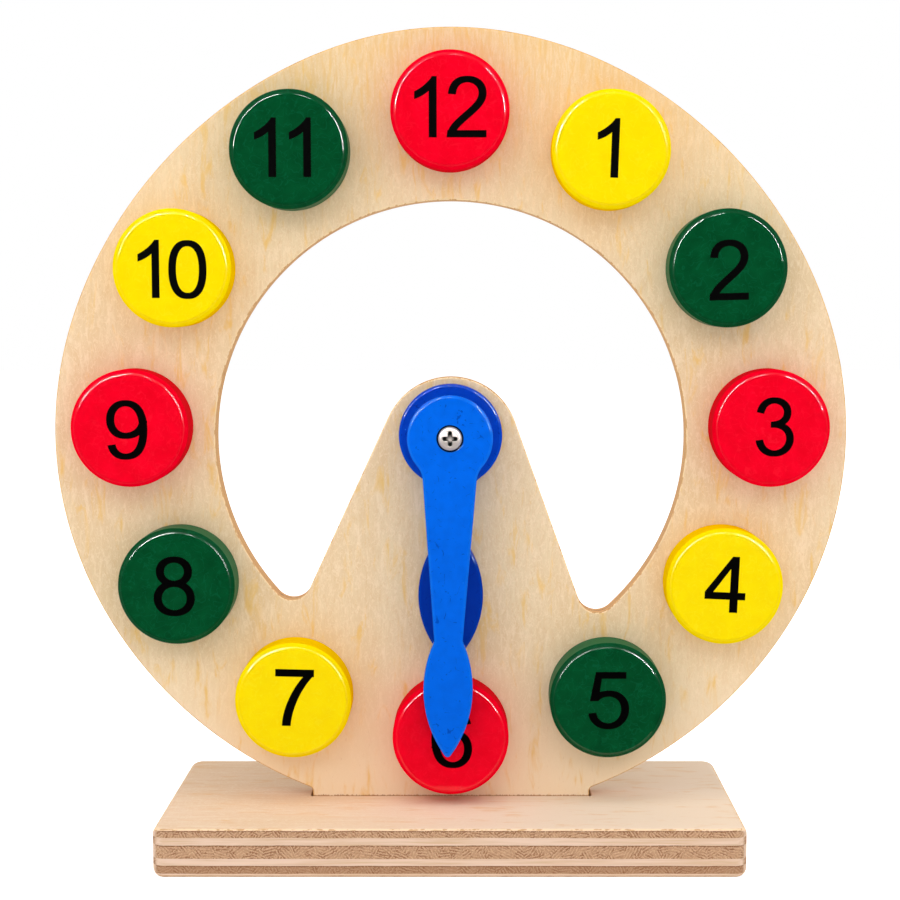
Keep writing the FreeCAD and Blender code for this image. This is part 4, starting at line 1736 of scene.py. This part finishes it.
@dataclass(frozen=True)
class Lamp:
    """Rectangular soft lamp, aimed at the dial from a place on a sphere about it."""

    name: str
    off_axis: float                     # degrees from the dial's own axis
    turn: float                         # degrees anticlockwise from three o'clock
    length: float                       # m, around the dial's axis
    width: float                        # m, towards the dial's axis
    radiance: float                     # 1 is the white of the surround
    distance: float = 1.1               # m
    aim_height: float = 0.13            # m
    mirrored: bool = True               # False where it is kept out of the gloss
    lighting: bool = True               # False where it only draws highlights

    def build(self) -> None:
        """Adds the lamp: its power is pi times its radiance and area."""
        data = bpy.data.lights.new(self.name, "AREA")
        data.shape, data.size, data.size_y = "RECTANGLE", self.length, self.width
        data.energy = math.pi * self.radiance * self.length * self.width
        lean, turn = math.radians(self.off_axis), math.radians(self.turn)
        way = Vector((math.cos(turn) * math.sin(lean), -math.cos(lean),
                      math.sin(turn) * math.sin(lean)))
        tangent = Vector((-math.sin(turn), 0, math.cos(turn)))
        lamp = bpy.data.objects.new(self.name, data)
        lamp.visible_glossy, lamp.visible_diffuse = self.mirrored, self.lighting
        lamp.rotation_euler = Matrix((tangent, way.cross(tangent), way)).transposed().to_euler()
        lamp.location = Vector((0, 0, self.aim_height)) + way * self.distance
        bpy.context.scene.collection.objects.link(lamp)


@dataclass
class Studio:
    """Pale floor, white surround, soft lamps above and a camera a little above the pivot."""

    camera_place: tuple[float, float, float] = (6.97, -557.15, 172.29)      # mm
    camera_pitch: float = 4.734         # degrees below level
    focal_length: float = 70.24         # mm
    sensor_width: float = 36.0          # mm
    side_shift: float = -0.0253         # share of the sensor's width
    lamps: tuple[Lamp, ...] = (
        Lamp("fill", 33, 90, 1.3, 0.45, 1.7, mirrored=False),
        Lamp("top", 76, 90, 0.9, 0.5, 1.9, mirrored=False),
        Lamp("left_box", 62, 145, 1.2, 0.7, 1.55, mirrored=False),
        Lamp("right_box", 62, 35, 1.2, 0.7, 1.38, mirrored=False),
        Lamp("left_strip", 54, 136, 1.1, 0.025, 300.0, lighting=False),
        Lamp("right_strip", 54, 34, 0.8, 0.025, 300.0, lighting=False),
        Lamp("crown_strip", 54, 87, 0.22, 0.025, 140.0, lighting=False))
    ambient_front: float = 0.30         # from the side where the camera stands
    ambient_back: float = 0.7
    gloss_front: float = 0.02           # what glossy surfaces see beside the camera
    floor_half: float = 4.0             # m
    floor_bounce: str = "#F6F6F6"
    floor_seen: str = "#F2F2F2"
    floor_lift: float = 0.72            # emission that the camera sees besides
    floor_gloss: float = 0.9            # what glossy surfaces see of it behind the clock
    floor_fade: tuple[float, float] = (-40.0, 60.0)     # mm along y, from dark to pale gloss
    floor_drop: float = 0.05            # mm below the base

    def camera(self) -> None:
        """Adds the camera."""
        data = bpy.data.cameras.new("studio_camera")
        data.lens, data.sensor_width = self.focal_length, self.sensor_width
        data.shift_x = self.side_shift
        camera = bpy.data.objects.new("studio_camera", data)
        camera.location = Vector(self.camera_place) * MM
        camera.rotation_euler = (math.radians(90 - self.camera_pitch), 0, 0)
        bpy.context.scene.collection.objects.link(camera)
        bpy.context.scene.camera = camera

    def surround(self) -> None:
        """Sets a world that is white to look at and plain for lighting.

        Glossy and transmitted rays see the white behind the clock and little in front of it, as
        the dark room beside a camera gives.
        """
        world = bpy.data.worlds.new("studio_world")
        bpy.context.scene.world = world
        look = Look(world)
        way = look.add("SeparateXYZ", [look.add("TexCoord", out="Generated")], 1)
        ambient = look.add("MapRange", [way, -0.3, 0.3, self.ambient_front, self.ambient_back])
        gloss = look.add("MapRange", [way, 0.0, 1.0, self.gloss_front], **SMOOTH)
        level = look.add("Mix", {0: look.mirror_ray(), 2: ambient, 3: gloss})
        seen = look.add("LightPath", out="Is Camera Ray")
        background = look.tree.nodes["Background"].inputs
        look.put(background["Strength"], look.add("Mix", {0: seen, 2: level, 3: 1.0}))
        look.put(background["Color"], (1, 1, 1, 1))

    def floor(self) -> None:
        """Adds a pale floor that the camera sees lifted to the white of the surround.

        Its bounce is that of white paper.  Glossy rays see it nearly white behind the clock and
        dark towards the camera.
        """
        mesh = bpy.data.meshes.new("studio_floor")
        reach = self.floor_half
        mesh.from_pydata([(-reach, -reach, 0), (reach, -reach, 0), (reach, reach, 0),
                          (-reach, reach, 0)], [], [(0, 1, 2, 3)])
        floor = bpy.data.objects.new("studio_floor", mesh)
        floor.location.z = -self.floor_drop * MM
        look = new_look("pale_floor_paper")
        mesh.materials.append(look.finish({"Base Color": self.floor_bounce, "Roughness": 0.9,
                                           "Specular IOR Level": 0.1}))
        paper = look.tree.nodes["Principled BSDF"].outputs[0]
        seen = look.add("AddShader", [look.add("BsdfDiffuse", {"Color": self.floor_seen}),
                                      look.add("Emission", {"Strength": self.floor_lift})])
        near = look.add("MapRange", [look.add("SeparateXYZ", [look.spot], 1),
                                     *self.floor_fade, self.gloss_front, self.floor_gloss])
        mirrored = look.add("Emission", {"Strength": near})
        paper = look.add("MixShader", [look.mirror_ray(), paper, mirrored])
        camera_ray = look.add("LightPath", out="Is Camera Ray")
        look.put(look.tree.nodes["Material Output"].inputs["Surface"],
                 look.add("MixShader", [camera_ray, paper, seen]))
        bpy.context.scene.collection.objects.link(floor)

    def build(self) -> None:
        """Sets up the whole studio."""
        bpy.context.scene.view_settings.view_transform = "Standard"
        self.camera()
        for lamp in self.lamps:
            lamp.build()
        self.surround()
        self.floor()


# ---------------------------------------------------------------- clock

# Each disc: its number, and its numeral's tilt in degrees clockwise, shift from the disc's middle
# in mm, height in mm and, where it isn't the usual one, gap between two figures
DISCS = (
    (1, 1.9, -1.13 + 0.3j, 18.0), (2, -1.4, -0.1 - 0.62j, 18.4), (3, 0.0, 0.86 + 0.52j, 17.9),
    (4, 2.4, 0.06 + 0.81j, 17.6), (5, 0.0, 0.13 + 0.25j, 18.1), (6, 0.0, 0.37 - 0.12j, 18.1),
    (7, 1.3, 0.52 + 1.19j, 18.2), (8, 0.0, -0.4 + 0.19j, 18.3), (9, 0.0, -0.49 - 0.4j, 18.0),
    (10, 0.0, 0.35 - 0.45j, 17.8, 0.156), (11, 0.0, -1.64 + 0.42j, 18.0, 0.22),
    (12, 0.0, 0.16 + 0.82j, 18.4, 0.164))


def main() -> None:
    """Builds the clock piece by piece, and then the studio round it."""
    discs = [NumberDisc(*row) for row in DISCS]
    BaseBoard().build()
    DialPlate(discs=[disc.middle for disc in discs]).build()
    lacquers = {tone: tone.value.material() for tone in Tone}
    dowel, ink = Dowel().material(), Ink().material()
    for disc in discs:
        disc.build(lacquers[disc.tone], dowel, ink)
    hour = Hand("hour_hand", hub_radius=16.2, blade_root=7.4, blade_tip=4.9,
                leaf_half_width=10.2, leaf_half_length=22.1, reach=72.7)
    # fade=0.5: painted shade on the leaf, where the minute hand shades it
    hour.build(SatinPaint("dark_blue_satin_paint", colour="#0244C8", dark="#012280",
                          light="#2E74E8", bevel="#0A50CC", fade=0.5), "dark_blue_paint")
    minute = Hand("minute_hand", hub_radius=13.2, blade_root=9.3, blade_tip=4.1,
                  leaf_half_width=7.65, leaf_half_length=22.1, reach=100.1, well_radius=4.15,
                  well_depth=1.3, lean=0.5)
    minute.build(SatinPaint("bright_blue_satin_paint", colour="#0168EA", dark="#0043B0",
                            light="#3FA0FF", bevel="#1C86FF"), "blue_paint")
    PivotStack().build(dowel)
    Studio().build()


if __name__ == "__main__":
    logging.basicConfig(level=logging.INFO, format="%(name)s: %(message)s")
    main()
